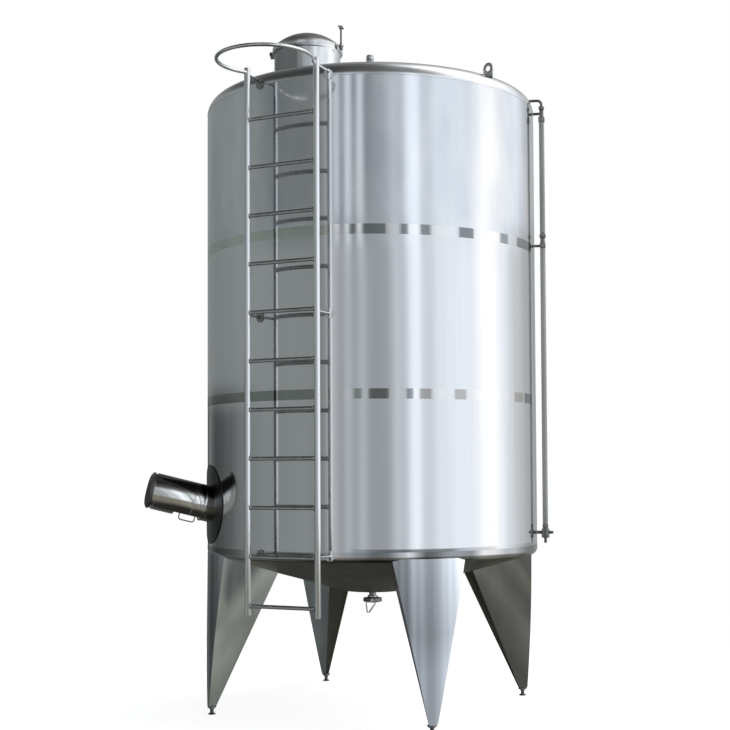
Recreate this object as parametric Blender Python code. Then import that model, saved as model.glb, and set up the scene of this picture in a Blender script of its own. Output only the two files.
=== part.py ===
"""Stainless-steel mixing tank on four folded legs, with ladder, manway, level gauge and side agitator.

Metres, +Z up. Bearings are degrees about the tank's axis, from the front (-Y) towards +X.
"""

from math import asin, atan2, cos, inf, pi, radians, sin, sqrt

import bmesh
import bpy
from mathutils import Vector

# Tank: the wall's three courses and both ends
FIT_GAP = 0.0003
COLUMNS = 60
TANK_RADIUS = 1.125
WALL = 0.005
WALL_BOTTOM = 1.100
LOWER_WELD = 2.066
UPPER_WELD = 3.075
WALL_TOP = 4.030
SHEETS_PER_COURSE = 3
ROOF_KNUCKLE = 0.100
ROOF_EDGE_SLOPE = radians(14)
RIM_STRAIGHT = 1.075
RIM_KNUCKLE = 0.045
CONE_SLOPE = 0.28
CONE_FLOOR_RADIUS = 0.19

# Legs and feet; a pair of reaches or half widths is at the leg's base and at its top, and a round
# fitting's section is its radius and its length
LEG_BEARINGS = (18.5, 108.5, 198.5, 288.5)
LEG_BASE = 0.055
LEG_TOP = 1.058
LEG_SHEET = 0.004
NOSE_RADIUS = 0.613
NOSE_REACH = (1.146, 1.135)
CHEEK_LEAN = radians(15.7)
BACK_REACH = (1.093, 0.632)
BACK_HALF = (0.0128, 0.112)
FOOT_REACH = 1.120
FOOT_DISC = (0.025, 0.010)
FOOT_THREAD = (0.013, 0.024)
FOOT_NUT = (0.019, 0.010)
FOOT_CAP = (0.029, LEG_BASE - 0.044 - FIT_GAP)

# Ladder
LADDER_BEARING = -25.8
STILE_SPACING = 0.485
STILE_RADIUS = 0.019
STILE_REACH = 1.255
STILE_BOTTOM = 0.712
STILE_TOP = 4.100
RUNG_COUNT = 11
RUNG_PITCH = 0.300
FIRST_RUNG = 0.773
RUNG_RADIUS = 0.0125
STANDOFF_HEIGHTS = (1.078, 2.560, 4.036)
STANDOFF_LIFTS = (0, 0, 0.022)
STANDOFF_RADIUS = 0.008
PAD_RADIUS = 0.032
PAD_THICKNESS = 0.004
HOOP_HEIGHT = 4.066
HOOP_RADIUS = 0.293
HOOP_OFFSET = 0.195
HOOP_TUBE = 0.0115

# Manway and its lid
MANWAY_CENTRE = (-0.418, -0.400)
MANWAY_TURN = -27.4
NECK_RADIUS = 0.220
NECK_WALL = 0.006
NECK_BOTTOM = 4.165
NECK_TOP = 4.382
FLANGE_RADIUS = 0.235
FLANGE_THICKNESS = 0.012
LID_EDGE = 0.024
LID_INSET = 0.003
LID_LIFT = 0.0005
LID_RISE = 0.100
LID_SHEET = 0.004
HINGE_REACH = 0.265
HINGE_LIFT = 0.027
PIN_RADIUS = 0.005
PIN_LENGTH = 0.080
PIN_CLEARANCE = 0.0008
EAR_RADIUS = 0.013
EAR_THICKNESS = 0.008
EAR_SPACING = 0.059
ARM_RADIUS = 0.011
ARM_WIDTH = 0.040
CLAMP_REACH = 0.256
CLAMP_TAB_WIDTH = 0.036
CLAMP_TAB_THICKNESS = 0.008
CLAMP_TAB_LIFT = 0.010
SCREW_RADIUS = 0.0065
SCREW_KNOB = (0.0125, 0.024)
SCREW_COLLAR = (0.011, 0.010)
SCREW_SHANK = (SCREW_RADIUS, 0.098)
SCREW_HEAD = (0.012, 0.019)
SCREW_BAR_LENGTH = 0.064
SCREW_BAR_RADIUS = 0.006

# Inlet stub and lifting lugs
INLET_PAD = (0.032, 0.005)
INLET_STUB = (0.019, 0.195)
INLET_CAP = (0.026, 0.034)
LUG_BEARINGS = (45.6, 225.6)
LUG_REACH = 1.060
LUG_RADIUS = 0.038
LUG_HEIGHT = 4.171
LUG_SHEET = 0.008
LUG_EYE_RADIUS = 0.018

# Level gauge
GAUGE_BEARING = 78.0
GAUGE_REACH = 1.185
GAUGE_TUBE = 0.018
GAUGE_PIPE = 0.009
ELBOW_HEIGHT = 4.098
ELBOW_RADIUS = 0.030
ELBOW_START = 1.04
TOP_UNION_LOW = 3.948
TOP_UNION = ((0.024, 0.038), (0.014, 0.048), (0.021, 0.022))
TOP_STANDOFF_HEIGHT = 4.008
MIDDLE_UNION_LOW = 3.090
MIDDLE_UNION = ((0.022, 0.038), (0.016, 0.034), (0.024, 0.026), (0.016, 0.008 - FIT_GAP))
MIDDLE_STANDOFF_HEIGHT = 3.108
BOTTOM_VALVE_LOW = 1.110
BOTTOM_VALVE = ((0.010, 0.034), (0.026, 0.060), (0.018, 0.008), (0.022, 0.020), (0.018, 0.004 - FIT_GAP))
BOTTOM_VALVE_HEIGHT = 1.180
STANDOFF_PIPE = 0.009
VALVE_PIPE = 0.011
VALVE_PIPE_END = 0.036
HANDLE_HUB = (0.009, 0.016)
HANDLE_WING = (0.032, 0.007)

# Side agitator's drive
AGITATOR_BEARING = -72.5
AGITATOR_HEIGHT = 1.380
AGITATOR_TILT = 14.0
AGITATOR_PAD = 0.262
AGITATOR_PAD_SHEET = 0.006
NOZZLE_RADIUS = 0.118
NOZZLE_LENGTH = 0.052
NOZZLE_FLANGE_RADIUS = 0.121
NOZZLE_FLANGE_THICKNESS = 0.014
MOTOR_RADIUS = 0.120
MOTOR_LENGTH = 0.343
MOTOR_STEP = 0.006
MOTOR_LIP = 0.020
MOTOR_RECESS_LENGTH = 0.178
MOTOR_RECESS_DEPTH = 0.017
COVER_THICKNESS = 0.020
COVER_CHAMFER = 0.010
LOOP_BAR = 0.004
LOOP_START = 0.024
LOOP_END = 0.128
LOOP_SHOULDER = 0.013
LOOP_DROP = 0.022
LOOP_CORNER = 0.006

# Drain
DRAIN_BORE = 0.0205
DRAIN_PIPE = 0.0245
FERRULE_RADIUS = 0.034
FERRULE_THICKNESS = 0.011
DRAIN_NECK_LENGTH = 0.046
VALVE_RADIUS = 0.064
VALVE_FACE_RADIUS = 0.040
VALVE_HEIGHT = 0.036
VALVE_CHAMFER = 0.006
VALVE_OUTLET_DEPTH = 0.014
VALVE_BOSS = (0.012, 0.078)
LEVER_HUB = (0.015, 0.010)
LEVER_BAR = 0.005
LEVER_SIDES = (-0.044, 0.018)
LEVER_SHOULDER = 0.014
LEVER_TIP = (-0.030, 0.079)
LEVER_CORNER = 0.006


def clear_scene():
    for thing in list(bpy.data.objects):
        bpy.data.objects.remove(thing, do_unlink=True)


def material(name, colour, roughness, metallic=1.0):
    finish = bpy.data.materials.new(name)
    finish.use_nodes = True
    shader = finish.node_tree.nodes["Principled BSDF"]
    shader.inputs["Base Color"].default_value = (*colour, 1.0)
    shader.inputs["Roughness"].default_value = roughness
    shader.inputs["Metallic"].default_value = metallic
    return finish


def put(name, mesh_builder, finish, parent=None, location=(0, 0, 0), rotation=(0, 0, 0)):
    """Link a bmesh as a named object with outward faces, smooth where the turn is gentle."""
    bmesh.ops.recalc_face_normals(mesh_builder, faces=mesh_builder.faces)
    mesh = bpy.data.meshes.new(name)
    mesh_builder.to_mesh(mesh)
    mesh_builder.free()
    mesh.materials.append(finish)
    mesh.shade_smooth()
    mesh.set_sharp_from_angle(angle=radians(30))
    thing = bpy.data.objects.new(name, mesh)
    bpy.context.collection.objects.link(thing)
    thing.parent = parent
    thing.location = location
    thing.rotation_euler = rotation
    return thing


def frame_empty(name, parent, location=(0, 0, 0), rotation=(0, 0, 0)):
    empty = bpy.data.objects.new(name, None)
    bpy.context.collection.objects.link(empty)
    empty.parent = parent
    empty.location = location
    empty.rotation_euler = rotation
    return empty


def turned(profile, steps=COLUMNS, start=0.0, sweep=2 * pi):
    """Turn a closed profile of (radius, height) points round Z; a part turn gets flat ends."""
    whole = sweep > 2 * pi - 1e-6
    columns = steps if whole else steps + 1
    shape = bmesh.new()
    rings = []
    for radius, height in profile:
        if radius < 1e-6:
            pole = shape.verts.new((0, 0, height))
            rings.append([pole] * columns)
            continue
        ring = []
        for column in range(columns):
            angle = start + sweep * column / steps
            ring.append(shape.verts.new((radius * cos(angle), radius * sin(angle), height)))
        rings.append(ring)
    for here, there in zip(rings, rings[1:] + rings[:1]):
        for column in range(steps):
            after = (column + 1) % columns
            corners = [here[column], here[after], there[after], there[column]]
            distinct = list(dict.fromkeys(corners))
            if len(distinct) > 2:
                shape.faces.new(distinct)
    if not whole:
        shape.faces.new([ring[0] for ring in rings])
        shape.faces.new([ring[-1] for ring in reversed(rings)])
    return shape


def rod(radius, bottom, top, steps=16):
    return turned([(0, bottom), (radius, bottom), (radius, top), (0, top)], steps)


def stacked(bottom, sections, steps=20):
    """A round body of plain sections, each a (radius, length), one on top of the other."""
    profile = [(0, bottom)]
    level = bottom
    for radius, length in sections:
        profile += [(radius, level), (radius, level + length)]
        level += length
    profile.append((0, level))
    return turned(profile, steps)


def plate(outline, thickness):
    """A flat plate: an (x, z) outline, centred on y = 0."""
    shape = bmesh.new()
    front = [shape.verts.new((x, -thickness / 2, z)) for x, z in outline]
    back = [shape.verts.new((x, thickness / 2, z)) for x, z in outline]
    shape.faces.new(front)
    shape.faces.new(list(reversed(back)))
    for index in range(len(outline)):
        after = (index + 1) % len(outline)
        shape.faces.new([front[index], back[index], back[after], front[after]])
    return shape


def pipe(points, radius, steps=12, closed=False):
    """A solid round bar along a path, its sections square to the path."""
    points = [Vector(point) for point in points]
    count = len(points)
    shape = bmesh.new()
    rings = []
    side = None
    for index, point in enumerate(points):
        if closed:
            ahead = points[(index + 1) % count] - points[index - 1]
        else:
            ahead = points[min(index + 1, count - 1)] - points[max(index - 1, 0)]
        ahead.normalize()
        if side is None:
            guess = Vector((0, 0, 1)) if abs(ahead.z) < 0.9 else Vector((1, 0, 0))
            side = ahead.cross(guess).normalized()
        side = (side - ahead * side.dot(ahead)).normalized()
        other = ahead.cross(side)
        ring = []
        for step in range(steps):
            angle = 2 * pi * step / steps
            ring.append(shape.verts.new(point + radius * (side * cos(angle) + other * sin(angle))))
        rings.append(ring)
    pairs = list(zip(rings, rings[1:]))
    if closed:
        pairs.append((rings[-1], rings[0]))
    for here, there in pairs:
        for step in range(steps):
            after = (step + 1) % steps
            shape.faces.new([here[step], here[after], there[after], there[step]])
    if not closed:
        shape.faces.new(list(reversed(rings[0])))
        shape.faces.new(rings[-1])
    return shape


def arc(centre, radius, first, last, steps):
    """Points along an arc in a plane, first and last in radians."""
    points = []
    for step in range(steps + 1):
        angle = first + (last - first) * step / steps
        points.append((centre[0] + radius * cos(angle), centre[1] + radius * sin(angle)))
    return points


def guide(name, mesh_builder, parent=None, location=(0, 0, 0), rotation=(0, 0, 0)):
    """A helper solid for a Boolean, which isn't part of the tank."""
    helper = put(name, mesh_builder, GUIDE, parent, location, rotation)
    helper.hide_render = True
    helper.display_type = "WIRE"
    return helper


def combine(target, helper, operation):
    change = target.modifiers.new(operation.title(), "BOOLEAN")
    change.operation = operation
    change.solver = "EXACT"
    change.object = helper


def bearing_turn(degrees_round):
    return (0, 0, radians(degrees_round))


# The ends' outlines

def roof_outline(offset=0.0):
    """The dished roof's outer surface from its edge up to the axis, moved outwards by offset."""
    knuckle_centre = (TANK_RADIUS - ROOF_KNUCKLE, WALL_TOP + FIT_GAP)
    crown = ROOF_KNUCKLE + knuckle_centre[0] / sin(ROOF_EDGE_SLOPE)
    crown_height = knuckle_centre[1] - (crown - ROOF_KNUCKLE) * cos(ROOF_EDGE_SLOPE)
    knuckle = arc(knuckle_centre, ROOF_KNUCKLE + offset, 0, pi / 2 - ROOF_EDGE_SLOPE, 5)
    dome = arc((0, crown_height), crown + offset, pi / 2 - ROOF_EDGE_SLOPE, pi / 2, 4)
    return knuckle + dome[1:-1] + [(0.0, crown_height + crown + offset)]


def floor_outline(offset=0.0):
    """The bottom end's outer surface from its rim down to the drain, moved outwards by offset."""
    slope = atan2(CONE_SLOPE, 1)
    centre = (TANK_RADIUS - RIM_KNUCKLE, RIM_STRAIGHT)
    knuckle = arc(centre, RIM_KNUCKLE + offset, 0, slope - pi / 2, 4)
    radius, height = knuckle[-1]
    floor_radius = CONE_FLOOR_RADIUS - offset * sin(slope)
    floor_height = height - CONE_SLOPE * (radius - floor_radius)
    return knuckle + [(floor_radius, floor_height)]


def build_wall(tank):
    """Three courses of sheet, each rolled from three sheets."""
    weld_lines = (WALL_BOTTOM, LOWER_WELD, UPPER_WELD, WALL_TOP)
    sweep = 2 * pi / SHEETS_PER_COURSE
    spare = FIT_GAP / TANK_RADIUS
    for course, label in enumerate(("lower", "middle", "upper")):
        low = weld_lines[course] + FIT_GAP / 2
        high = weld_lines[course + 1] - FIT_GAP / 2
        inner = TANK_RADIUS - WALL
        profile = [(TANK_RADIUS, low), (TANK_RADIUS, high), (inner, high), (inner, low)]
        for sheet in range(SHEETS_PER_COURSE):
            start = sweep * sheet + spare / 2
            shape = turned(profile, COLUMNS // SHEETS_PER_COURSE, start, sweep - spare)
            put(f"shell_{label}_sheet_{sheet + 1}", shape, POLISHED, tank)


def build_roof(tank):
    outer = roof_outline()
    inner = list(reversed(roof_outline(-WALL)))
    roof = put("roof_end", turned(outer + inner), POLISHED, tank)
    opening = guide("manway_opening_guide", rod(NECK_RADIUS + FIT_GAP, WALL_TOP, NECK_TOP, 48), tank,
                    (*MANWAY_CENTRE, 0), bearing_turn(MANWAY_TURN))
    combine(roof, opening, "DIFFERENCE")


def build_bottom(tank):
    outer = floor_outline()
    inner = floor_outline(-WALL)
    top = WALL_BOTTOM - FIT_GAP / 2
    floor = outer[-1][1]
    profile = [(TANK_RADIUS, top)] + outer + [(DRAIN_BORE, floor), (DRAIN_BORE, floor + WALL)]
    profile += list(reversed(inner)) + [(TANK_RADIUS - WALL, top)]
    put("bottom_end", turned(profile), SATIN, tank)


def leg_section(share, inset=0.0):
    """One level of a folded leg, share 0 at its foot and 1 at its top: a rolled nose and two flat
    cheeks that draw together behind it, open at the back. The inside is inset by the sheet."""
    reach, back, half = [ends[0] + (ends[1] - ends[0]) * share for ends in (NOSE_REACH, BACK_REACH, BACK_HALF)]
    height = LEG_BASE + (LEG_TOP - LEG_BASE) * share
    centre = reach - NOSE_RADIUS
    cheek_offset = half * cos(CHEEK_LEAN) - (back - centre) * sin(CHEEK_LEAN) - inset
    radius = NOSE_RADIUS - inset
    turn = CHEEK_LEAN + asin(cheek_offset / radius)
    side = half - inset / cos(CHEEK_LEAN)
    nose = arc((centre, 0), radius, -turn, turn, 8)
    return [(x, y, height) for x, y in [(back, -side)] + nose + [(back, side)]]


def leg_shape():
    """The leg lies along +X here, from its foot up to its cut top."""
    shape = bmesh.new()
    levels = []
    for share in (0, 1):
        outer = leg_section(share)
        inner = list(reversed(leg_section(share, LEG_SHEET)))
        levels.append([shape.verts.new(point) for point in outer + inner])
    low, high = levels
    count = len(low)
    for index in range(count):
        after = (index + 1) % count
        shape.faces.new([low[index], low[after], high[after], high[index]])
    for level in (list(reversed(low)), high):
        half = count // 2
        for index in range(half - 1):
            mirror = count - 1 - index
            shape.faces.new([level[index], level[index + 1], level[mirror - 1], level[mirror]])
    # The inside's faces twist a little from foot to top, so they are split into flat triangles
    bmesh.ops.triangulate(shape, faces=shape.faces[:])
    return shape


def leg_top_shape():
    outline = leg_section(1)
    shape = bmesh.new()
    low = [shape.verts.new((x, y, LEG_TOP - LEG_SHEET)) for x, y, _ in outline]
    high = [shape.verts.new((x, y, LEG_TOP)) for x, y, _ in outline]
    shape.faces.new(list(reversed(low)))
    shape.faces.new(high)
    for index in range(len(outline)):
        after = (index + 1) % len(outline)
        shape.faces.new([low[index], low[after], high[after], high[index]])
    return shape


def tank_body_guide(tank):
    """The bottom end and wall as one solid, a hair larger, which trims the legs' tops."""
    outline = floor_outline(FIT_GAP)
    profile = [(0, LOWER_WELD), (TANK_RADIUS + FIT_GAP, LOWER_WELD)] + outline + [(0, outline[-1][1])]
    return guide("tank_body_guide", turned(profile), tank)


def build_legs(tank):
    body = tank_body_guide(tank)
    for number, bearing in enumerate(LEG_BEARINGS, 1):
        stand = frame_empty(f"leg_{number}_frame", tank, (0, 0, 0), bearing_turn(bearing - 90))
        leg = put(f"leg_{number}", leg_shape(), SATIN, stand)
        top = guide(f"leg_{number}_top_guide", leg_top_shape(), stand)
        combine(leg, top, "UNION")
        combine(leg, body, "DIFFERENCE")
        foot = stacked(0, (FOOT_DISC, FOOT_THREAD, FOOT_NUT, FOOT_CAP), 14)
        put(f"foot_{number}", foot, DARK_STEEL, stand, (FOOT_REACH, 0, 0))


def build_ladder(tank):
    ladder = frame_empty("ladder_frame", tank, (0, 0, 0), bearing_turn(LADDER_BEARING))
    half = STILE_SPACING / 2
    wall_depth = sqrt(TANK_RADIUS ** 2 - half ** 2)
    for side, label in ((-1, "left"), (1, "right")):
        stile = put(f"ladder_stile_{label}", rod(STILE_RADIUS, STILE_BOTTOM, STILE_TOP, 20), POLISHED,
                    ladder, (side * half, -STILE_REACH, 0))
        for number, (height, lift) in enumerate(zip(STANDOFF_HEIGHTS, STANDOFF_LIFTS), 1):
            start = Vector((side * half, -STILE_REACH, height + lift))
            end = Vector((side * half, -wall_depth - PAD_THICKNESS, height + lift))
            bar = guide(f"standoff_{label}_{number}_guide", pipe([start, end], STANDOFF_RADIUS), ladder)
            combine(stile, bar, "UNION")
            disc = rod(PAD_RADIUS, FIT_GAP, FIT_GAP + PAD_THICKNESS, 20)
            lean = side * asin(half / TANK_RADIUS)
            pad = guide(f"pad_{label}_{number}_guide", disc, ladder,
                        (side * half, -wall_depth, height), (pi / 2, 0, lean))
            combine(stile, pad, "UNION")
    rung_half = half - STILE_RADIUS - FIT_GAP
    for number in range(RUNG_COUNT):
        height = FIRST_RUNG + RUNG_PITCH * number
        put(f"ladder_rung_{number + 1:02d}", rod(RUNG_RADIUS, -rung_half, rung_half, 12), SATIN, ladder,
            (0, -STILE_REACH, height), (0, pi / 2, 0))
    centre = (0, -STILE_REACH - HOOP_OFFSET)
    opening = atan2(sqrt(HOOP_RADIUS ** 2 - half ** 2), half)
    bend = arc(centre, HOOP_RADIUS, opening, -pi - opening, 24)
    seat = -STILE_REACH - STILE_RADIUS - FIT_GAP
    route = [(half, seat)] + bend + [(-half, seat)]
    put("ladder_hoop", pipe([(x, y, HOOP_HEIGHT) for x, y in route], HOOP_TUBE), POLISHED, ladder)


def build_manway(tank):
    manway = frame_empty("manway_frame", tank, (*MANWAY_CENTRE, 0), bearing_turn(MANWAY_TURN))
    inside = NECK_RADIUS - NECK_WALL
    flange_low = NECK_TOP - FLANGE_THICKNESS
    profile = [(inside, NECK_BOTTOM), (NECK_RADIUS, NECK_BOTTOM), (NECK_RADIUS, flange_low),
               (FLANGE_RADIUS, flange_low), (FLANGE_RADIUS, NECK_TOP), (inside, NECK_TOP)]
    neck = put("manway_neck", turned(profile, 48), SATIN, manway)
    axis_height = NECK_TOP + HINGE_LIFT
    root = -FLANGE_RADIUS + NECK_WALL
    skin = FLANGE_THICKNESS / 6
    ear_outline = arc((-HINGE_REACH, axis_height), EAR_RADIUS, pi, 0, 8)
    ear_outline += [(-HINGE_REACH + EAR_RADIUS, NECK_TOP), (root, NECK_TOP - skin),
                    (root, flange_low + skin), (-HINGE_REACH, flange_low + skin)]
    for side in (-1, 1):
        ear = guide(f"hinge_ear_guide_{side + 2}", plate(ear_outline, EAR_THICKNESS), manway,
                    (0, side * EAR_SPACING / 2, 0))
        combine(neck, ear, "UNION")
    pin_hole = guide("hinge_hole_guide", rod(PIN_RADIUS + FIT_GAP, -PIN_LENGTH, PIN_LENGTH), manway,
                     (-HINGE_REACH, 0, axis_height), (pi / 2, 0, 0))
    combine(neck, pin_hole, "DIFFERENCE")
    put("manway_hinge_pin", rod(PIN_RADIUS, -PIN_LENGTH / 2, PIN_LENGTH / 2), DARK_STEEL, manway,
        (-HINGE_REACH, 0, axis_height), (pi / 2, 0, 0))
    build_lid(manway, axis_height)


def lid_profile(base):
    """A domed lid with an upright edge, open underneath."""
    rim_radius = FLANGE_RADIUS - LID_INSET
    crown = (rim_radius ** 2 + LID_RISE ** 2) / (2 * LID_RISE)
    centre = (0, base + LID_EDGE + LID_RISE - crown)
    edge_angle = asin(rim_radius / crown)
    inner_edge = asin((rim_radius - LID_SHEET) / (crown - LID_SHEET))
    outer = arc(centre, crown, pi / 2 - edge_angle, pi / 2, 8)
    inner = arc(centre, crown - LID_SHEET, pi / 2, pi / 2 - inner_edge, 8)
    return outer + inner + [(inner[-1][0], base), (rim_radius, base)]


def build_lid(manway, axis_height):
    """The lid stands on its hinge's axis, so that the empty is what it turns about."""
    hinge = frame_empty("lid_hinge_axis", manway, (-HINGE_REACH, 0, axis_height))
    base = -HINGE_LIFT + LID_LIFT
    rim_radius = FLANGE_RADIUS - LID_INSET
    lid = put("manway_lid", turned(lid_profile(base), 48), SATIN, hinge, (HINGE_REACH, 0, 0))

    arm_low = base + LID_EDGE / 4
    arm_high = base + 2 * LID_EDGE
    arm_outline = arc((-HINGE_REACH, 0), ARM_RADIUS, pi, 3 * pi / 2, 6)
    arm_outline += [(-rim_radius - LID_INSET, -ARM_RADIUS), (-rim_radius + LID_SHEET, arm_low),
                    (-rim_radius + LID_EDGE, arm_high), (-rim_radius, ARM_RADIUS)]
    arm_outline += arc((-HINGE_REACH, 0), ARM_RADIUS, pi / 2, pi * 0.9, 5)
    arm = guide("lid_arm_guide", plate(arm_outline, ARM_WIDTH), hinge, (HINGE_REACH, 0, 0))
    combine(lid, arm, "UNION")
    bore = rod(PIN_RADIUS + PIN_CLEARANCE, -PIN_LENGTH, PIN_LENGTH)
    combine(lid, guide("lid_hole_guide", bore, hinge, (0, 0, 0), (pi / 2, 0, 0)), "DIFFERENCE")

    tab_low = base + CLAMP_TAB_LIFT
    tab_high = tab_low + CLAMP_TAB_THICKNESS
    tab_end = CLAMP_REACH + 2 * SCREW_RADIUS
    tab_outline = [(rim_radius - LID_INSET, tab_low), (tab_end, tab_low), (tab_end, tab_high),
                   (rim_radius - LID_INSET, tab_high)]
    tab = guide("clamp_tab_guide", plate(tab_outline, CLAMP_TAB_WIDTH), hinge, (HINGE_REACH, 0, 0))
    combine(lid, tab, "UNION")
    bore = rod(SCREW_RADIUS + FIT_GAP, tab_low - LID_EDGE, tab_high + LID_EDGE)
    combine(lid, guide("clamp_hole_guide", bore, hinge, (HINGE_REACH + CLAMP_REACH, 0, 0)), "DIFFERENCE")

    grip = (SCREW_RADIUS, CLAMP_TAB_THICKNESS + 2 * FIT_GAP)
    sections = (SCREW_KNOB, grip, SCREW_COLLAR, SCREW_SHANK, SCREW_HEAD)
    low = tab_low - FIT_GAP - SCREW_KNOB[1]
    screw = put("manway_clamp_screw", stacked(low, sections, 16), DARK_STEEL, hinge,
                (HINGE_REACH + CLAMP_REACH, 0, 0))
    bar_level = low + sum(length for _, length in sections) - SCREW_HEAD[1] / 2
    ends = [(0, -SCREW_BAR_LENGTH / 2, bar_level), (0, SCREW_BAR_LENGTH / 2, bar_level)]
    bar = guide("clamp_bar_guide", pipe(ends, SCREW_BAR_RADIUS), hinge, (HINGE_REACH + CLAMP_REACH, 0, 0))
    combine(screw, bar, "UNION")


def build_roof_fittings(tank):
    seat = roof_outline(FIT_GAP)[-1][1]
    put("roof_inlet_stub", stacked(seat, (INLET_PAD, INLET_STUB, INLET_CAP), 24), SATIN, tank)
    inside = WALL_TOP - 2 * ROOF_KNUCKLE
    roof_profile = [(0, inside), (TANK_RADIUS + FIT_GAP, inside)] + roof_outline(FIT_GAP)
    roof_guide = guide("roof_guide", turned(roof_profile), tank)
    for number, bearing in enumerate(LUG_BEARINGS, 1):
        stand = frame_empty(f"lug_{number}_frame", tank, (0, 0, 0), bearing_turn(bearing - 90))
        root = LUG_HEIGHT - 3 * LUG_RADIUS
        outline = [(LUG_REACH - LUG_RADIUS, root), (LUG_REACH + LUG_RADIUS, root)]
        outline += arc((LUG_REACH, LUG_HEIGHT), LUG_RADIUS, 0, pi, 12)
        lug = put(f"lifting_lug_{number}", plate(outline, LUG_SHEET), SATIN, stand)
        eye = guide(f"lug_eye_guide_{number}", rod(LUG_EYE_RADIUS, -LUG_RADIUS, LUG_RADIUS, 20), stand,
                    (LUG_REACH, 0, LUG_HEIGHT), (pi / 2, 0, 0))
        combine(lug, eye, "DIFFERENCE")
        combine(lug, roof_guide, "DIFFERENCE")
    return roof_guide


def gauge_bar(fitting, gauge, name, height, end, radius):
    """A level bar from the tank's wall through a gauge fitting."""
    wall = -TANK_RADIUS - 4 * FIT_GAP
    bar = guide(name, pipe([(0, wall, height), (0, end, height)], radius), gauge)
    combine(fitting, bar, "UNION")


def build_gauge(tank, roof_guide):
    gauge = frame_empty("gauge_frame", tank, (0, 0, 0), bearing_turn(GAUGE_BEARING))
    reach = -GAUGE_REACH
    corner = arc((reach + ELBOW_RADIUS, ELBOW_HEIGHT - ELBOW_RADIUS), ELBOW_RADIUS, pi / 2, pi, 6)
    route = [(0, -ELBOW_START, ELBOW_HEIGHT)] + [(0, y, z) for y, z in corner]
    route.append((0, reach, TOP_STANDOFF_HEIGHT))
    top = put("gauge_top_fitting", pipe(route, GAUGE_PIPE), DARK_STEEL, gauge)
    union = guide("gauge_top_guide", stacked(TOP_UNION_LOW, TOP_UNION), gauge, (0, reach, 0))
    combine(top, union, "UNION")
    gauge_bar(top, gauge, "gauge_top_bar_guide", TOP_STANDOFF_HEIGHT, reach, STANDOFF_PIPE)
    combine(top, roof_guide, "DIFFERENCE")

    middle = put("gauge_middle_fitting", stacked(MIDDLE_UNION_LOW, MIDDLE_UNION), DARK_STEEL, gauge,
                 (0, reach, 0))
    gauge_bar(middle, gauge, "gauge_middle_bar_guide", MIDDLE_STANDOFF_HEIGHT, reach, STANDOFF_PIPE)
    valve = put("gauge_bottom_valve", stacked(BOTTOM_VALVE_LOW, BOTTOM_VALVE), DARK_STEEL, gauge,
                (0, reach, 0))
    hub_seat = reach - VALVE_PIPE_END
    gauge_bar(valve, gauge, "gauge_valve_bar_guide", BOTTOM_VALVE_HEIGHT, hub_seat, VALVE_PIPE)

    middle_top = MIDDLE_UNION_LOW + sum(length for _, length in MIDDLE_UNION) + FIT_GAP
    bottom_top = BOTTOM_VALVE_LOW + sum(length for _, length in BOTTOM_VALVE) + FIT_GAP
    for name, low, high in (("upper", middle_top, TOP_UNION_LOW), ("lower", bottom_top, MIDDLE_UNION_LOW)):
        put(f"gauge_tube_{name}", rod(GAUGE_TUBE, low, high - FIT_GAP, 20), CLEAR_TUBE, gauge, (0, reach, 0))

    hub = frame_empty("gauge_handle_axis", gauge, (0, hub_seat - FIT_GAP, BOTTOM_VALVE_HEIGHT),
                      (pi / 2, 0, 0))
    hub_radius, hub_length = HANDLE_HUB
    handle = put("gauge_valve_handle", rod(hub_radius, 0, hub_length, 16), DARK_STEEL, hub)
    wing_half, wing_width = HANDLE_WING
    wing = rod(wing_width, hub_length / 2, hub_length - GAUGE_PIPE / 4, 12)
    bmesh.ops.scale(wing, vec=(wing_half / wing_width, 1.0, 1.0), verts=wing.verts)
    combine(handle, guide("gauge_wing_guide", wing, hub), "UNION")


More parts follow.
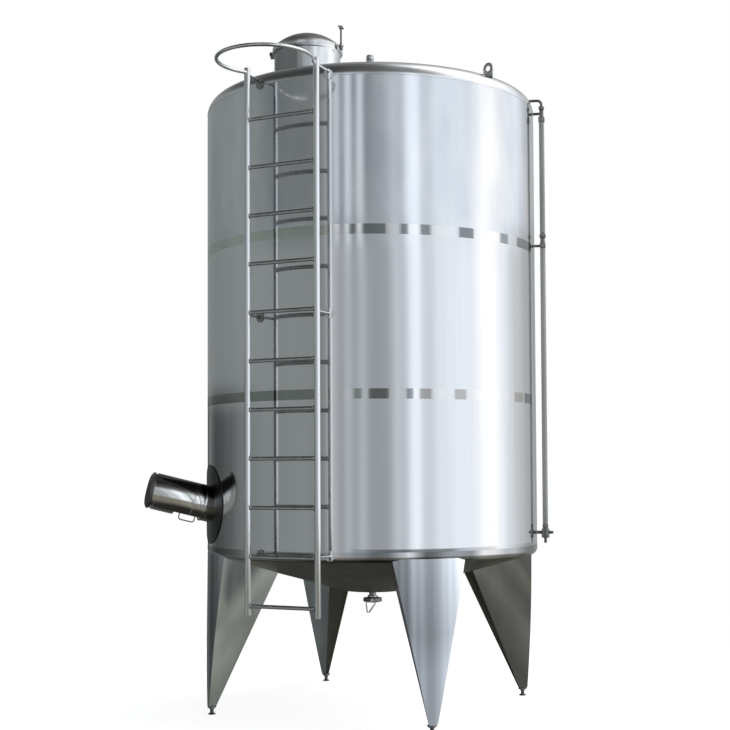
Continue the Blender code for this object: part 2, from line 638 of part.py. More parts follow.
def build_agitator(tank):
    turn = radians(AGITATOR_BEARING)
    pad_inner = TANK_RADIUS + FIT_GAP
    pad_outer = pad_inner + AGITATOR_PAD_SHEET
    spread = 1.2 * asin(AGITATOR_PAD / TANK_RADIUS)
    low = AGITATOR_HEIGHT - 1.1 * AGITATOR_PAD
    high = AGITATOR_HEIGHT + 1.1 * AGITATOR_PAD
    band = [(pad_outer, low), (pad_outer, high), (pad_inner, high), (pad_inner, low)]
    pad = put("agitator_pad", turned(band, 16, -pi / 2 - spread, 2 * spread), SATIN, tank, (0, 0, 0),
              (0, 0, turn))
    disc = rod(AGITATOR_PAD, TANK_RADIUS - AGITATOR_PAD, TANK_RADIUS + AGITATOR_PAD, 40)
    outline = guide("agitator_pad_guide", disc, tank, (0, 0, AGITATOR_HEIGHT), (pi / 2, 0, turn))
    combine(pad, outline, "INTERSECT")

    seat = pad_outer + FIT_GAP
    mount = frame_empty("agitator_axis", tank, (seat * sin(turn), -seat * cos(turn), AGITATOR_HEIGHT),
                        (pi / 2 - radians(AGITATOR_TILT), 0, turn))
    neck = put("agitator_nozzle", rod(NOZZLE_RADIUS, -NOZZLE_LENGTH, NOZZLE_LENGTH, 32), SATIN, mount)
    flange = rod(NOZZLE_FLANGE_RADIUS, NOZZLE_LENGTH - NOZZLE_FLANGE_THICKNESS, NOZZLE_LENGTH, 40)
    combine(neck, guide("agitator_flange_guide", flange, mount), "UNION")
    face = guide("agitator_face_guide", rod(pad_outer + FIT_GAP, low, high, 144), tank)
    combine(neck, face, "DIFFERENCE")

    start = NOZZLE_LENGTH + FIT_GAP
    end = start + MOTOR_LENGTH
    waist = MOTOR_RADIUS - MOTOR_STEP
    profile = [(0, start), (MOTOR_RADIUS, start), (MOTOR_RADIUS, end - MOTOR_LIP), (waist, end - MOTOR_LIP),
               (waist, end), (0, end)]
    shroud = put("agitator_motor_shroud", turned(profile, 40), POLISHED, mount)
    recess_level = -MOTOR_RADIUS + MOTOR_RECESS_DEPTH
    outline = [(x * MOTOR_RADIUS, start + z * MOTOR_RECESS_LENGTH)
               for x, z in ((-1, -1), (1, -1), (1, 1), (-1, 1))]
    recess = guide("agitator_recess_guide", plate(outline, 2 * MOTOR_RADIUS), mount,
                   (0, recess_level - MOTOR_RADIUS, 0))
    combine(shroud, recess, "DIFFERENCE")
    cover_low = end + FIT_GAP
    cover_high = cover_low + COVER_THICKNESS
    cover = [(0, cover_low), (MOTOR_RADIUS, cover_low), (MOTOR_RADIUS, cover_high - COVER_CHAMFER),
             (MOTOR_RADIUS - COVER_CHAMFER, cover_high), (0, cover_high)]
    put("agitator_fan_cover", turned(cover, 40), DARK_STEEL, mount)

    seat_level = recess_level - FIT_GAP
    shoulder = -MOTOR_RADIUS - LOOP_SHOULDER
    drop = -MOTOR_RADIUS - LOOP_DROP
    first = start + LOOP_START
    last = start + LOOP_END
    route = [(0, seat_level, first), (0, shoulder, first), (0, drop, first + 2 * LOOP_CORNER),
             (0, drop, last - 2 * LOOP_CORNER), (0, shoulder, last), (0, seat_level, last)]
    put("agitator_lifting_loop", pipe(route, LOOP_BAR, 10), DARK_STEEL, mount)


def build_drain(tank):
    top = floor_outline(FIT_GAP)[-1][1]
    neck_low = top - DRAIN_NECK_LENGTH
    ferrule_high = neck_low + FERRULE_THICKNESS
    profile = [(DRAIN_BORE, top), (DRAIN_PIPE, top), (DRAIN_PIPE, ferrule_high),
               (FERRULE_RADIUS, ferrule_high), (FERRULE_RADIUS, neck_low), (DRAIN_BORE, neck_low)]
    put("drain_neck", turned(profile, 24), SATIN, tank)

    high = neck_low - FIT_GAP
    low = high - VALVE_HEIGHT
    outlet_end = low + VALVE_OUTLET_DEPTH
    profile = [(0, high), (VALVE_FACE_RADIUS, high), (VALVE_RADIUS, high - VALVE_CHAMFER),
               (VALVE_RADIUS, low + VALVE_CHAMFER), (VALVE_FACE_RADIUS, low), (DRAIN_BORE, low),
               (DRAIN_BORE, outlet_end), (0, outlet_end)]
    valve = put("drain_valve", turned(profile, 28), DARK_STEEL, tank)
    middle = (high + low) / 2
    boss_radius, boss_reach = VALVE_BOSS
    boss = rod(boss_radius, (VALVE_FACE_RADIUS + VALVE_RADIUS) / 2, boss_reach, 18)
    combine(valve, guide("drain_boss_guide", boss, tank, (0, 0, middle), (pi / 2, 0, 0)), "UNION")

    hub_radius, hub_length = LEVER_HUB
    axis = frame_empty("drain_lever_axis", tank, (0, -boss_reach - FIT_GAP, middle))
    hub = put("drain_lever", rod(hub_radius, 0, hub_length, 20), SATIN, axis, (0, 0, 0), (pi / 2, 0, 0))
    left, right = LEVER_SIDES
    tip, drop = LEVER_TIP
    high = -LEVER_SHOULDER + LEVER_CORNER
    low = -LEVER_SHOULDER - LEVER_CORNER
    corners = [(right - LEVER_CORNER, high), (right, low), (tip + LEVER_CORNER, -drop),
               (tip - LEVER_CORNER, -drop), (left, low), (left + LEVER_CORNER, high)]
    route = [(x, -hub_length / 2, z) for x, z in corners]
    combine(hub, guide("drain_loop_guide", pipe(route, LEVER_BAR, 10, closed=True), axis), "UNION")


def settle(tank):
    """Move the whole tank so that the middle of its footprint, on the ground, is the origin."""
    bpy.context.view_layer.update()
    graph = bpy.context.evaluated_depsgraph_get()
    low = Vector((inf, inf, inf))
    high = -low
    for thing in bpy.data.objects:
        if thing.type != "MESH" or thing.hide_render:
            continue
        evaluated = thing.evaluated_get(graph)
        for vertex in evaluated.data.vertices:
            place = evaluated.matrix_world @ vertex.co
            low = Vector(map(min, low, place))
            high = Vector(map(max, high, place))
    tank.location = (-(low.x + high.x) / 2, -(low.y + high.y) / 2, -low.z)
    bpy.context.view_layer.update()
    print("tank axis stands at", [round(value, 4) for value in tank.location])


clear_scene()
POLISHED = material("polished_steel", (0.62, 0.63, 0.65), 0.12)
SATIN = material("satin_steel", (0.50, 0.50, 0.51), 0.28)
DARK_STEEL = material("cast_fittings", (0.22, 0.22, 0.22), 0.35)
CLEAR_TUBE = material("sight_tube", (0.75, 0.78, 0.78), 0.10, 0.0)
GUIDE = material("guide", (0.8, 0.3, 0.1), 0.8, 0.0)

TANK = frame_empty("tank_axis", None)
build_wall(TANK)
build_roof(TANK)
build_bottom(TANK)
build_legs(TANK)
build_ladder(TANK)
build_manway(TANK)
ROOF_GUIDE = build_roof_fittings(TANK)
build_gauge(TANK, ROOF_GUIDE)
build_agitator(TANK)
build_drain(TANK)
settle(TANK)
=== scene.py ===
# %% [markdown]
# # A stainless-steel mixing tank, from its solids to a finished look
# The tank stands on four folded legs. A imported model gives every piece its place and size, and this
# lesson puts a finished skin over it: rolled sheet with polished weld bands, a dished roof, a ladder,
# a manway, a level gauge and a drive on the side. Each cell makes one piece or one finish.

# %% The frame that everything fits
from math import asin, atan2, cos, pi, radians, sin, sqrt, tan

import bmesh
import bpy
from mathutils import Matrix, Vector


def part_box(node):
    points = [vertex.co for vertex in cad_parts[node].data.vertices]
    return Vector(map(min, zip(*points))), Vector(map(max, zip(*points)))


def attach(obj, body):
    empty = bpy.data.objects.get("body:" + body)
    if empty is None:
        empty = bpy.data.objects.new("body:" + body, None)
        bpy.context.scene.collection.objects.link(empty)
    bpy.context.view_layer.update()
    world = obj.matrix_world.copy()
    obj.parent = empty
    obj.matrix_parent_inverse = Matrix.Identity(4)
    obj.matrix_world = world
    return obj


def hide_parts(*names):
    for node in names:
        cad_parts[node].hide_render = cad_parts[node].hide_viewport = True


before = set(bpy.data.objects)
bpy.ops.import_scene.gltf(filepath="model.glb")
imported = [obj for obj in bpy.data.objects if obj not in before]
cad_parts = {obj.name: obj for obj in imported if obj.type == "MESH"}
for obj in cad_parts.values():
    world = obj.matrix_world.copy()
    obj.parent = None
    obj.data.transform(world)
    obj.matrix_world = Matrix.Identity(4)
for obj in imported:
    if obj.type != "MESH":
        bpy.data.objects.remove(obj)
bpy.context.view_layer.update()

print(len(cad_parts), "solids")

# %% [markdown]
# ## Where the tank's axis stands
# Nearly every piece is placed round the tank's upright axis. The roof is a full round piece, so the
# middle of its box is that axis and half its width is the radius of the wall. Bearings are degrees
# about the axis, from the front (-Y) towards the right (+X).

# %% The axis and the wall's heights
roof_low, roof_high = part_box("roof_end")
AXIS = Vector(((roof_low.x + roof_high.x) / 2, (roof_low.y + roof_high.y) / 2, 0.0))
ON_AXIS = Matrix.Translation(AXIS)
LYING = Matrix.Rotation(pi / 2, 4, "X")
UP = Vector((0, 0, 1))
TANK_RADIUS = (roof_high.x - roof_low.x) / 2
FIT_GAP = 0.0003
WALL = 0.005
WALL_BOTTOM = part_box("shell_lower_sheet_1")[0].z
LOWER_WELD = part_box("shell_middle_sheet_1")[0].z
UPPER_WELD, WALL_TOP = [corner.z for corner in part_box("shell_upper_sheet_1")]
print(f"axis at {AXIS.x:.4f}, {AXIS.y:.4f}; radius {TANK_RADIUS:.3f} m")
print(f"wall from {WALL_BOTTOM:.3f} to {WALL_TOP:.3f}")


def at(x=0.0, y=0.0, z=0.0):
    """A shift without a turn."""
    return Matrix.Translation((x, y, z))


def around(bearing, reach=0.0, height=0.0):
    """A place on a bearing: its local -Y points away from the axis and its Z is up."""
    return ON_AXIS @ Matrix.Rotation(radians(bearing), 4, "Z") @ at(y=-reach, z=height)


def outward(bearing):
    """A turn on the axis so that local +X points away along a bearing, which suits legs and lugs."""
    return around(bearing - 90)


# %% [markdown]
# ## The camera
# The photograph was taken with a long lens from a little over nine metres away, at the height of a
# standing person's chest or eyes. The camera tips up by two degrees, and a small upward shift keeps the
# upright lines nearly parallel. The numbers come from fitting a camera to the tank's rims and feet.

# %% The camera at the photograph's place
CAMERA_PLACE = Vector((-0.0114, -9.383, 1.591))
CAMERA_YAW = 0.213
CAMERA_PITCH = 2.274
CAMERA_ROLL = -0.270
CAMERA_LENS = 67.12
CAMERA_SENSOR = 36.0
CAMERA_SHIFT = 0.072
camera_data = bpy.data.cameras.new("photo_camera")
camera_data.lens = CAMERA_LENS
camera_data.sensor_width = CAMERA_SENSOR
camera_data.shift_y = CAMERA_SHIFT
camera = bpy.data.objects.new("photo_camera", camera_data)
bpy.context.scene.collection.objects.link(camera)
camera.matrix_world = (Matrix.Translation(AXIS + CAMERA_PLACE)
                       @ Matrix.Rotation(radians(CAMERA_YAW), 4, "Z")
                       @ Matrix.Rotation(radians(90 + CAMERA_PITCH), 4, "X")
                       @ Matrix.Rotation(radians(CAMERA_ROLL), 4, "Z"))
bpy.context.scene.camera = camera
bpy.context.scene.view_settings.view_transform = "Standard"
print("camera at", [round(value, 3) for value in camera.matrix_world.translation])

# %% [markdown]
# ## From a sketch to a piece
# Round metalwork comes from three moves: turn a profile on a lathe, sweep a round bar along a path,
# or cut a plate from sheet. Blender's Spin, curves and Solidify could make them one by one, but the
# helpers below say the same in a line each, as loose meshes that can still be joined or cut.


# %% Turned shapes
ON_CENTRE = 1e-6


def full_turn(steps):
    """The angles of even steps round a circle."""
    return [2 * pi * step / steps for step in range(steps)]


def arc(centre, radius, first, last, steps):
    """Points along an arc, first and last in radians."""
    points = []
    for step in range(steps + 1):
        angle = first + (last - first) * step / steps
        points.append((centre[0] + radius * cos(angle), centre[1] + radius * sin(angle)))
    return points


def bridged(shape, here, there):
    """The faces between two closed loops; a loop of one repeated point makes them a fan."""
    faces = []
    for step in range(len(here)):
        after = (step + 1) % len(here)
        corners = list(dict.fromkeys([here[step], here[after], there[after], there[step]]))
        if len(corners) > 2:
            faces.append(shape.faces.new(corners))
    return faces


def lathe(profile, steps=96):
    """Turn a closed profile of (radius, height) points round Z."""
    shape = bmesh.new()
    rings = []
    for radius, height in profile:
        if radius < ON_CENTRE:
            rings.append([shape.verts.new((0, 0, height))] * steps)
        else:
            rings.append([shape.verts.new((radius * cos(angle), radius * sin(angle), height))
                          for angle in full_turn(steps)])
    for here, there in zip(rings, rings[1:] + rings[:1]):
        bridged(shape, here, there)
    return shape


def stacked(bottom, sections, steps=48):
    """A round body of plain sections, each a (radius, length), one on top of the other."""
    profile = [(0, bottom)]
    level = bottom
    for radius, length in sections:
        profile += [(radius, level), (radius, level + length)]
        level += length
    return lathe(profile + [(0, level)], steps)


# %% Bars along a path
NEARLY_UPRIGHT = 0.9


def sweep(points, radius, sides=16, closed=False):
    """A round bar along a path, its sections square to the path."""
    points = [Vector(point) for point in points]
    last = len(points) - 1
    shape = bmesh.new()
    rings = []
    side = None
    for index, point in enumerate(points):
        if closed:
            ahead = points[(index + 1) % len(points)] - points[index - 1]
        else:
            ahead = points[min(index + 1, last)] - points[max(index - 1, 0)]
        ahead.normalize()
        if side is None:
            side = ahead.cross(UP if abs(ahead.z) < NEARLY_UPRIGHT else Vector((1, 0, 0)))
        side = (side - ahead * side.dot(ahead)).normalized()
        other = ahead.cross(side)
        rings.append([shape.verts.new(point + radius * (side * cos(angle) + other * sin(angle)))
                      for angle in full_turn(sides)])
    for here, there in zip(rings, rings[1:]):
        bridged(shape, here, there)
    if closed:
        bridged(shape, rings[-1], rings[0])
    else:
        shape.faces.new(list(reversed(rings[0])))
        shape.faces.new(rings[-1])
    return shape


# %% Plates, and several shapes as one
def slab(outline, thickness):
    """A flat plate: an (x, z) outline, centred on y = 0."""
    shape = bmesh.new()
    front = [shape.verts.new((x, -thickness / 2, z)) for x, z in outline]
    back = [shape.verts.new((x, thickness / 2, z)) for x, z in outline]
    shape.faces.new(front)
    shape.faces.new(list(reversed(back)))
    bridged(shape, back, front)
    return shape


def joined(*shapes):
    """Several loose meshes as one."""
    whole = bmesh.new()
    for shape in shapes:
        sketch = bpy.data.meshes.new("sketch")
        shape.to_mesh(sketch)
        shape.free()
        whole.from_mesh(sketch)
        bpy.data.meshes.remove(sketch)
    return whole


def moved(shape, place):
    bmesh.ops.transform(shape, matrix=place, verts=shape.verts)
    return shape


# %% [markdown]
# ## Dressing a shape
# A shape is finished in the same order as in a workshop. Doubled points are merged and the faces are
# pointed outwards, holes are cut, sharp edges are broken with a small bevel, and the piece is put in
# its place. The modifiers are applied at once, so that what is left is a plain mesh on its body.

# %% Finishing helpers
MERGE_DISTANCE = 1e-5
PIECES = []


def as_object(name, shape, finish):
    """A loose mesh as a plain object, doubles merged and faces pointing out."""
    bmesh.ops.remove_doubles(shape, verts=shape.verts, dist=MERGE_DISTANCE)
    bmesh.ops.recalc_face_normals(shape, faces=shape.faces)
    mesh = bpy.data.meshes.new(name)
    shape.to_mesh(mesh)
    shape.free()
    mesh.materials.append(finish)
    thing = bpy.data.objects.new(name, mesh)
    bpy.context.scene.collection.objects.link(thing)
    return thing


def baked(thing):
    """The mesh that the object's modifiers make, with the modifiers gone."""
    bpy.context.view_layer.update()
    graph = bpy.context.evaluated_depsgraph_get()
    mesh = bpy.data.meshes.new_from_object(thing.evaluated_get(graph))
    thing.modifiers.clear()
    before = thing.data
    thing.data = mesh
    bpy.data.meshes.remove(before)
    return thing


def combined(thing, tool, operation="DIFFERENCE"):
    """Cut or join with another object, which is used up."""
    change = thing.modifiers.new(operation.title(), "BOOLEAN")
    change.operation = operation
    change.solver = "EXACT"
    change.object = tool
    baked(thing)
    bpy.data.objects.remove(tool, do_unlink=True)
    return thing


def hand_over(thing, body, stands_for=()):
    """The piece rides on its body and stands for the plain solids under it."""
    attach(thing, body)
    if stands_for:
        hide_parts(*stands_for)
    PIECES.append(thing)
    print(f"{thing.name}: {len(thing.data.polygons)} faces, on {body}")
    return thing


def smoothed(thing, sharp):
    thing.data.shade_smooth()
    thing.data.set_sharp_from_angle(angle=radians(sharp))


def dress(name, shape, finish, place=None, body="tank", stands_for=(), bevel=0.0, sharp=35):
    """A finished piece from a loose mesh or from an object that was cut already."""
    thing = shape if isinstance(shape, bpy.types.Object) else as_object(name, shape, finish)
    thing.name = name
    thing.data.name = name
    if bevel:
        edge = thing.modifiers.new("Broken edges", "BEVEL")
        edge.width = bevel
        edge.segments = 2
        edge.limit_method = "ANGLE"
        edge.angle_limit = radians(sharp)
        baked(thing)
    if place is not None:
        thing.data.transform(place)
    smoothed(thing, sharp)
    return hand_over(thing, body, stands_for)


# %% [markdown]
# ## Geometry Nodes for what repeats
# Rungs, weld beads and ribs repeat by a rule, so each gets a small node tree with named inputs.
# `new_tree` starts one, and `grow` runs it once on a plain object, keeps the mesh and throws the
# modifier away, so that what is left is an ordinary piece.


# %% Helpers for node trees
SOCKETS = {float: "NodeSocketFloat", int: "NodeSocketInt"}


def node(tree, kind, links=None, **values):
    """Add a node, set its plain values, and feed its inputs from nodes, outputs or numbers."""
    made = tree.nodes.new(kind)
    for label, value in values.items():
        setattr(made, label, value)
    for label, value in (links or {}).items():
        if isinstance(value, bpy.types.Node):
            value = value.outputs[0]
        if isinstance(value, bpy.types.NodeSocket):
            tree.links.new(value, made.inputs[label])
        else:
            made.inputs[label].default_value = value
    return made


def maths(tree, operation, *values):
    return node(tree, "ShaderNodeMath", dict(enumerate(values)), operation=operation).outputs[0]


def vectors(tree, operation, *values, result="Vector"):
    made = node(tree, "ShaderNodeVectorMath", dict(enumerate(values)), operation=operation)
    return made.outputs[result]


def circle(tree, steps, radius):
    return node(tree, "GeometryNodeCurvePrimitiveCircle", {"Resolution": steps, "Radius": radius})


def rectangle(tree, width, height):
    return node(tree, "GeometryNodeCurvePrimitiveQuadrilateral", {"Width": width, "Height": height})


def new_tree(name, **inputs):
    """A tree that ends in real geometry with one material; inputs are its sizes and their defaults."""
    tree = bpy.data.node_groups.new(name, "GeometryNodeTree")
    tree.interface.new_socket("Geometry", in_out="OUTPUT", socket_type="NodeSocketGeometry")
    tree.interface.new_socket("Geometry", in_out="INPUT", socket_type="NodeSocketGeometry")
    for label, default in inputs.items():
        item = tree.interface.new_socket(label, in_out="INPUT", socket_type=SOCKETS[type(default)])
        item.default_value = default
    tree.interface.new_socket("Finish", in_out="INPUT", socket_type="NodeSocketMaterial")
    sizes = tree.nodes.new("NodeGroupInput").outputs
    real = tree.nodes.new("GeometryNodeRealizeInstances")
    paint = node(tree, "GeometryNodeSetMaterial", {"Geometry": real, "Material": sizes["Finish"]})
    node(tree, "NodeGroupOutput", {0: paint})
    return tree, sizes, real.inputs[0]


def grow(name, tree, finish, start=None, **values):
    """Run a tree once and keep its mesh as a plain object."""
    thing = bpy.data.objects.new(name, start or bpy.data.meshes.new(name))
    bpy.context.scene.collection.objects.link(thing)
    maker = thing.modifiers.new("Maker", "NODES")
    maker.node_group = tree
    for item in tree.interface.items_tree:
        if item.item_type != "SOCKET" or item.in_out != "INPUT":
            continue
        if item.name == "Finish":
            maker[item.identifier] = finish
        elif item.name in values:
            maker[item.identifier] = values[item.name]
    return baked(thing)


# %% [markdown]
# ## Finishes of steel
# One steel, many finishes: what changes is how smooth it is and which way it was worked. Each finish
# is a metal whose colour, roughness and bump wander a little. A picture of steel could be wrapped on
# instead, but noise on coordinates in metres has the same scale on every piece and needs no file.


# %% Building blocks of a finish
EVEN = (1.0, 1.0, 1.0)
WAVE_STRETCH = (1.0, 1.0, 0.25)


def principled(name):
    """A new material: itself, its node tree and the inputs of its shader."""
    finish = bpy.data.materials.new(name)
    finish.use_nodes = True
    return finish, finish.node_tree, finish.node_tree.nodes["Principled BSDF"].inputs


def from_point(tree, origin):
    """A surface point's place in metres, measured from an origin."""
    place = node(tree, "ShaderNodeTexCoord")
    return vectors(tree, "ADD", place.outputs["Object"], -origin)


def noise(tree, scale, stretch=EVEN, detail=3.0):
    """Noise over the object in metres; a small stretch value draws the pattern out along that way."""
    place = node(tree, "ShaderNodeTexCoord")
    mapping = node(tree, "ShaderNodeMapping", {"Vector": place.outputs["Object"], "Scale": stretch})
    made = node(tree, "ShaderNodeTexNoise", {"Vector": mapping, "Scale": scale, "Detail": detail})
    return made.outputs["Fac"]


def ranged(tree, source, low, high, start=0.3, end=0.7):
    """A pattern's values brought from start..end to low..high."""
    return node(tree, "ShaderNodeMapRange", {"Value": source, "From Min": start, "From Max": end,
                                             "To Min": low, "To Max": high}).outputs[0]


def mixed(tree, factor, first, second, blend="MIX"):
    """Two colours mixed by a factor; each is an output or three plain numbers."""
    feeds = {0: factor}
    for place, colour in ((6, first), (7, second)):
        feeds[place] = colour if isinstance(colour, bpy.types.NodeSocket) else (*colour, 1.0)
    return node(tree, "ShaderNodeMix", feeds, data_type="RGBA", blend_type=blend).outputs[2]


def bump(tree, height, depth):
    return node(tree, "ShaderNodeBump", {"Height": height, "Strength": 1.0, "Distance": depth})


def steel(name, dark, light, roughness, spread=0.03, streak=(14.0, (1.0, 1.0, 0.05)), grain=(160.0, EVEN),
          wave=(3.0, 0.0), grain_depth=0.00001, metallic=1.0):
    """A steel finish: colour and roughness follow soft streaks, and the bump is a grain over a wave.
    Streak and grain are a scale and a stretch, and a wave is a scale and a depth in metres."""
    finish, tree, sockets = principled(name)
    sockets["Metallic"].default_value = metallic
    streaks = noise(tree, *streak)
    tree.links.new(mixed(tree, ranged(tree, streaks, 0.0, 1.0), dark, light), sockets["Base Color"])
    fine = noise(tree, *grain, detail=4.0)
    rough = maths(tree, "ADD", ranged(tree, streaks, roughness - spread, roughness + spread),
                  ranged(tree, fine, -spread / 2, spread / 2))
    tree.links.new(rough, sockets["Roughness"])
    relief = bump(tree, fine, grain_depth)
    scale, depth = wave
    if depth:
        swell = bump(tree, noise(tree, scale, WAVE_STRETCH, detail=1.0), depth)
        tree.links.new(swell.outputs[0], relief.inputs["Normal"])
    tree.links.new(relief.outputs[0], sockets["Normal"])
    return finish


# %% Shades over a finish
HALF_TURN = 180.0
WHITE = (1.0, 1.0, 1.0)


def ramp(tree, source, low, high, stops):
    """A colour that follows a quantity from low to high through a list of (value, colour)."""
    made = node(tree, "ShaderNodeValToRGB", {0: ranged(tree, source, 0.0, 1.0, low, high)})
    elements = made.color_ramp.elements
    while len(elements) > 1:
        elements.remove(elements[-1])
    for number, (value, colour) in enumerate(stops):
        position = (value - low) / (high - low)
        stop = elements[0] if number == 0 else elements.new(position)
        stop.position = position
        stop.color = (*colour, 1.0)
    return made.outputs[0]


def levels_by(tree, source, levels):
    """A grey that follows a quantity through a list of (value, level)."""
    stops = [(value, (level, level, level)) for value, level in levels]
    return ramp(tree, source, levels[0][0], levels[-1][0], stops)


def shaded(finish, shade):
    """Multiply a finish's colour by a shade."""
    tree = finish.node_tree
    colour = tree.nodes["Principled BSDF"].inputs["Base Color"]
    tree.links.new(mixed(tree, 1.0, colour.links[0].from_socket, shade, "MULTIPLY"), colour)
    return finish


def bearing_of(tree, parts):
    """The bearing of a vector in degrees, from its separated parts."""
    front = maths(tree, "MULTIPLY", parts["Y"], -1.0)
    return maths(tree, "DEGREES", maths(tree, "ARCTAN2", parts["X"], front))


def round_the_tank(tree):
    """A surface point's bearing about the tank's axis, wrapped to half a turn, and its height."""
    parts = node(tree, "ShaderNodeSeparateXYZ", {0: from_point(tree, AXIS)}).outputs
    wrapped = maths(tree, "WRAP", bearing_of(tree, parts), -HALF_TURN / 2, HALF_TURN / 2)
    return wrapped, parts["Z"]


# %% [markdown]
# ## The wall: three rolled courses
# A tank's wall is made of strips of sheet, bent in rolls and welded edge to edge. The shape follows a
# rule, a ring with a tall thin section, so a tree makes it: a circle swept by a rectangle. Welding
# draws the sheet in a little along each seam, and the tree dips the wall there.

# %% The tree for a rolled ring
ROUND_STEPS = 240


def rolled_ring_tree():
    tree, sizes, end = new_tree("Rolled ring", Radius=1.0, Wall=0.005, Height=1.0, Level=0.0,
                                Steps=ROUND_STEPS, Cuts=20, Dip=0.0, Reach=0.1)
    section = rectangle(tree, sizes["Wall"], sizes["Height"])
    divided = node(tree, "GeometryNodeSubdivideCurve", {"Curve": section, "Cuts": sizes["Cuts"]})
    round_path = circle(tree, sizes["Steps"], sizes["Radius"])
    ring = node(tree, "GeometryNodeCurveToMesh", {"Curve": round_path, "Profile Curve": divided})
    place = node(tree, "GeometryNodeInputPosition").outputs[0]
    way = vectors(tree, "NORMALIZE", vectors(tree, "MULTIPLY", place, (1.0, 1.0, 0.0)))
    height = node(tree, "ShaderNodeSeparateXYZ", {0: place}).outputs["Z"]
    half = maths(tree, "MULTIPLY", sizes["Height"], 0.5)
    dip_start = maths(tree, "SUBTRACT", half, sizes["Reach"])
    share = node(tree, "ShaderNodeMapRange", {"Value": maths(tree, "ABSOLUTE", height), "From Min": dip_start,
                                              "From Max": half}, interpolation_type="SMOOTHERSTEP")
    inward = maths(tree, "MULTIPLY", maths(tree, "MULTIPLY", share.outputs[0], sizes["Dip"]), -1.0)
    offset = node(tree, "ShaderNodeVectorMath", {0: way, "Scale": inward}, operation="SCALE")
    dipped = node(tree, "GeometryNodeSetPosition", {"Geometry": ring, "Offset": offset})
    rise = node(tree, "ShaderNodeCombineXYZ", {"Z": sizes["Level"]})
    raised = node(tree, "GeometryNodeTransform", {"Geometry": dipped, "Translation": rise})
    tree.links.new(raised.outputs[0], end)
    return tree


ROLLED_RING = rolled_ring_tree()


def rolled_ring(name, finish, outer, wall, low, high, stands_for=(), cuts=0, dip=0.0, reach=0.1):
    """A ring of sheet between two heights, its outer face on a radius."""
    ring = grow(name, ROLLED_RING, finish, Radius=outer - wall / 2, Wall=wall, Height=high - low,
                Level=(low + high) / 2, Cuts=cuts, Dip=dip, Reach=reach)
    ring.data.transform(ON_AXIS)
    smoothed(ring, sharp=35)
    return hand_over(ring, "tank", stands_for)


# %% [markdown]
# ## The sheets of the wall
# Rolled sheet is nearly a mirror, drawn out by faint upright streaks. On the upper course the sheet is
# cloudier. The lower course has painted shade along its foot: a dark line on the front only, which carries
# the dark tones of the rim up onto the wall. A stripe could be a piece of its own, but the line has no
# thickness, so it is painted: one shade by bearing and one by height, of which the lighter counts.

# %% The sheets' finishes
ALONG_WALL = (1.0, 1.0, 0.03)
ROLLED = {"grain": (60.0, (1.0, 1.0, 8.0)), "wave": (2.2, 0.0005), "grain_depth": 0.000002}
# Painted shade: a dark line along the lower course's foot, on the front only, in the rim's tones by bearing.
FOOT_LINE_PAINTED_SHADE = (
    (-90, 1.0), (-8, 1.0), (-3, 0.62), (3, 0.42), (8, 0.30), (25, 0.28), (29, 0.55), (34, 0.66), (42, 0.72),
    (46, 1.0), (56, 0.90), (66, 0.62), (78, 1.0), (90, 1.0))
PAINTED_LINE_HEIGHT = 0.012
PAINTED_LINE_END = 0.021
PAINTED_LINE_RISE = ((WALL_BOTTOM, 0.0), (WALL_BOTTOM + PAINTED_LINE_HEIGHT, 0.0), (WALL_BOTTOM + PAINTED_LINE_END, 1.0),
             (LOWER_WELD, 1.0))


def rolled_sheet(name):
    return steel(name, (0.76, 0.77, 0.78), (0.83, 0.84, 0.86), roughness=0.10, spread=0.02,
                 streak=(9.0, ALONG_WALL), **ROLLED)


def lower_sheet():
    """The lower course's sheet, with painted shade: a dark line along its edge at the rim, on the front only.
    """
    finish = rolled_sheet("lower_sheet")
    tree = finish.node_tree
    bearing, height = round_the_tank(tree)
    by_bearing = levels_by(tree, bearing, FOOT_LINE_PAINTED_SHADE)
    return shaded(finish, mixed(tree, 1.0, by_bearing, levels_by(tree, height, PAINTED_LINE_RISE), "LIGHTEN"))


CLOUDY = steel("cloudy_sheet", (0.66, 0.69, 0.74), (0.84, 0.85, 0.86), roughness=0.11, spread=0.03,
               streak=(4.5, (1.0, 1.0, 0.35)), **ROLLED)

# %% The three courses
WELD_DIP = 0.0006
WELD_REACH = 0.090
BAND_PROUD = 0.0004
COURSES = (("lower", WALL_BOTTOM, LOWER_WELD, lower_sheet()),
           ("middle", LOWER_WELD, UPPER_WELD, rolled_sheet("rolled_sheet")),
           ("upper", UPPER_WELD, WALL_TOP, CLOUDY))
for label, low, high, finish in COURSES:
    sheets = [f"shell_{label}_sheet_{number}" for number in (1, 2, 3)]
    rolled_ring(f"{label}_course", finish, TANK_RADIUS - BAND_PROUD, WALL, low, high, sheets,
                cuts=23, dip=WELD_DIP, reach=WELD_REACH)

# %% [markdown]
# ## The polished weld bands
# After welding, the fitter grinds each seam flush and polishes a strip on both sides of it. The strip
# is brighter than the sheet and works like a mirror, which is why the photograph shows small sharp
# pictures of the surroundings in it. Whole surroundings could be built for it to mirror. A few dark
# blocks by bearing do the same with less. Each band is its own thin ring, a hair proud of the wall.

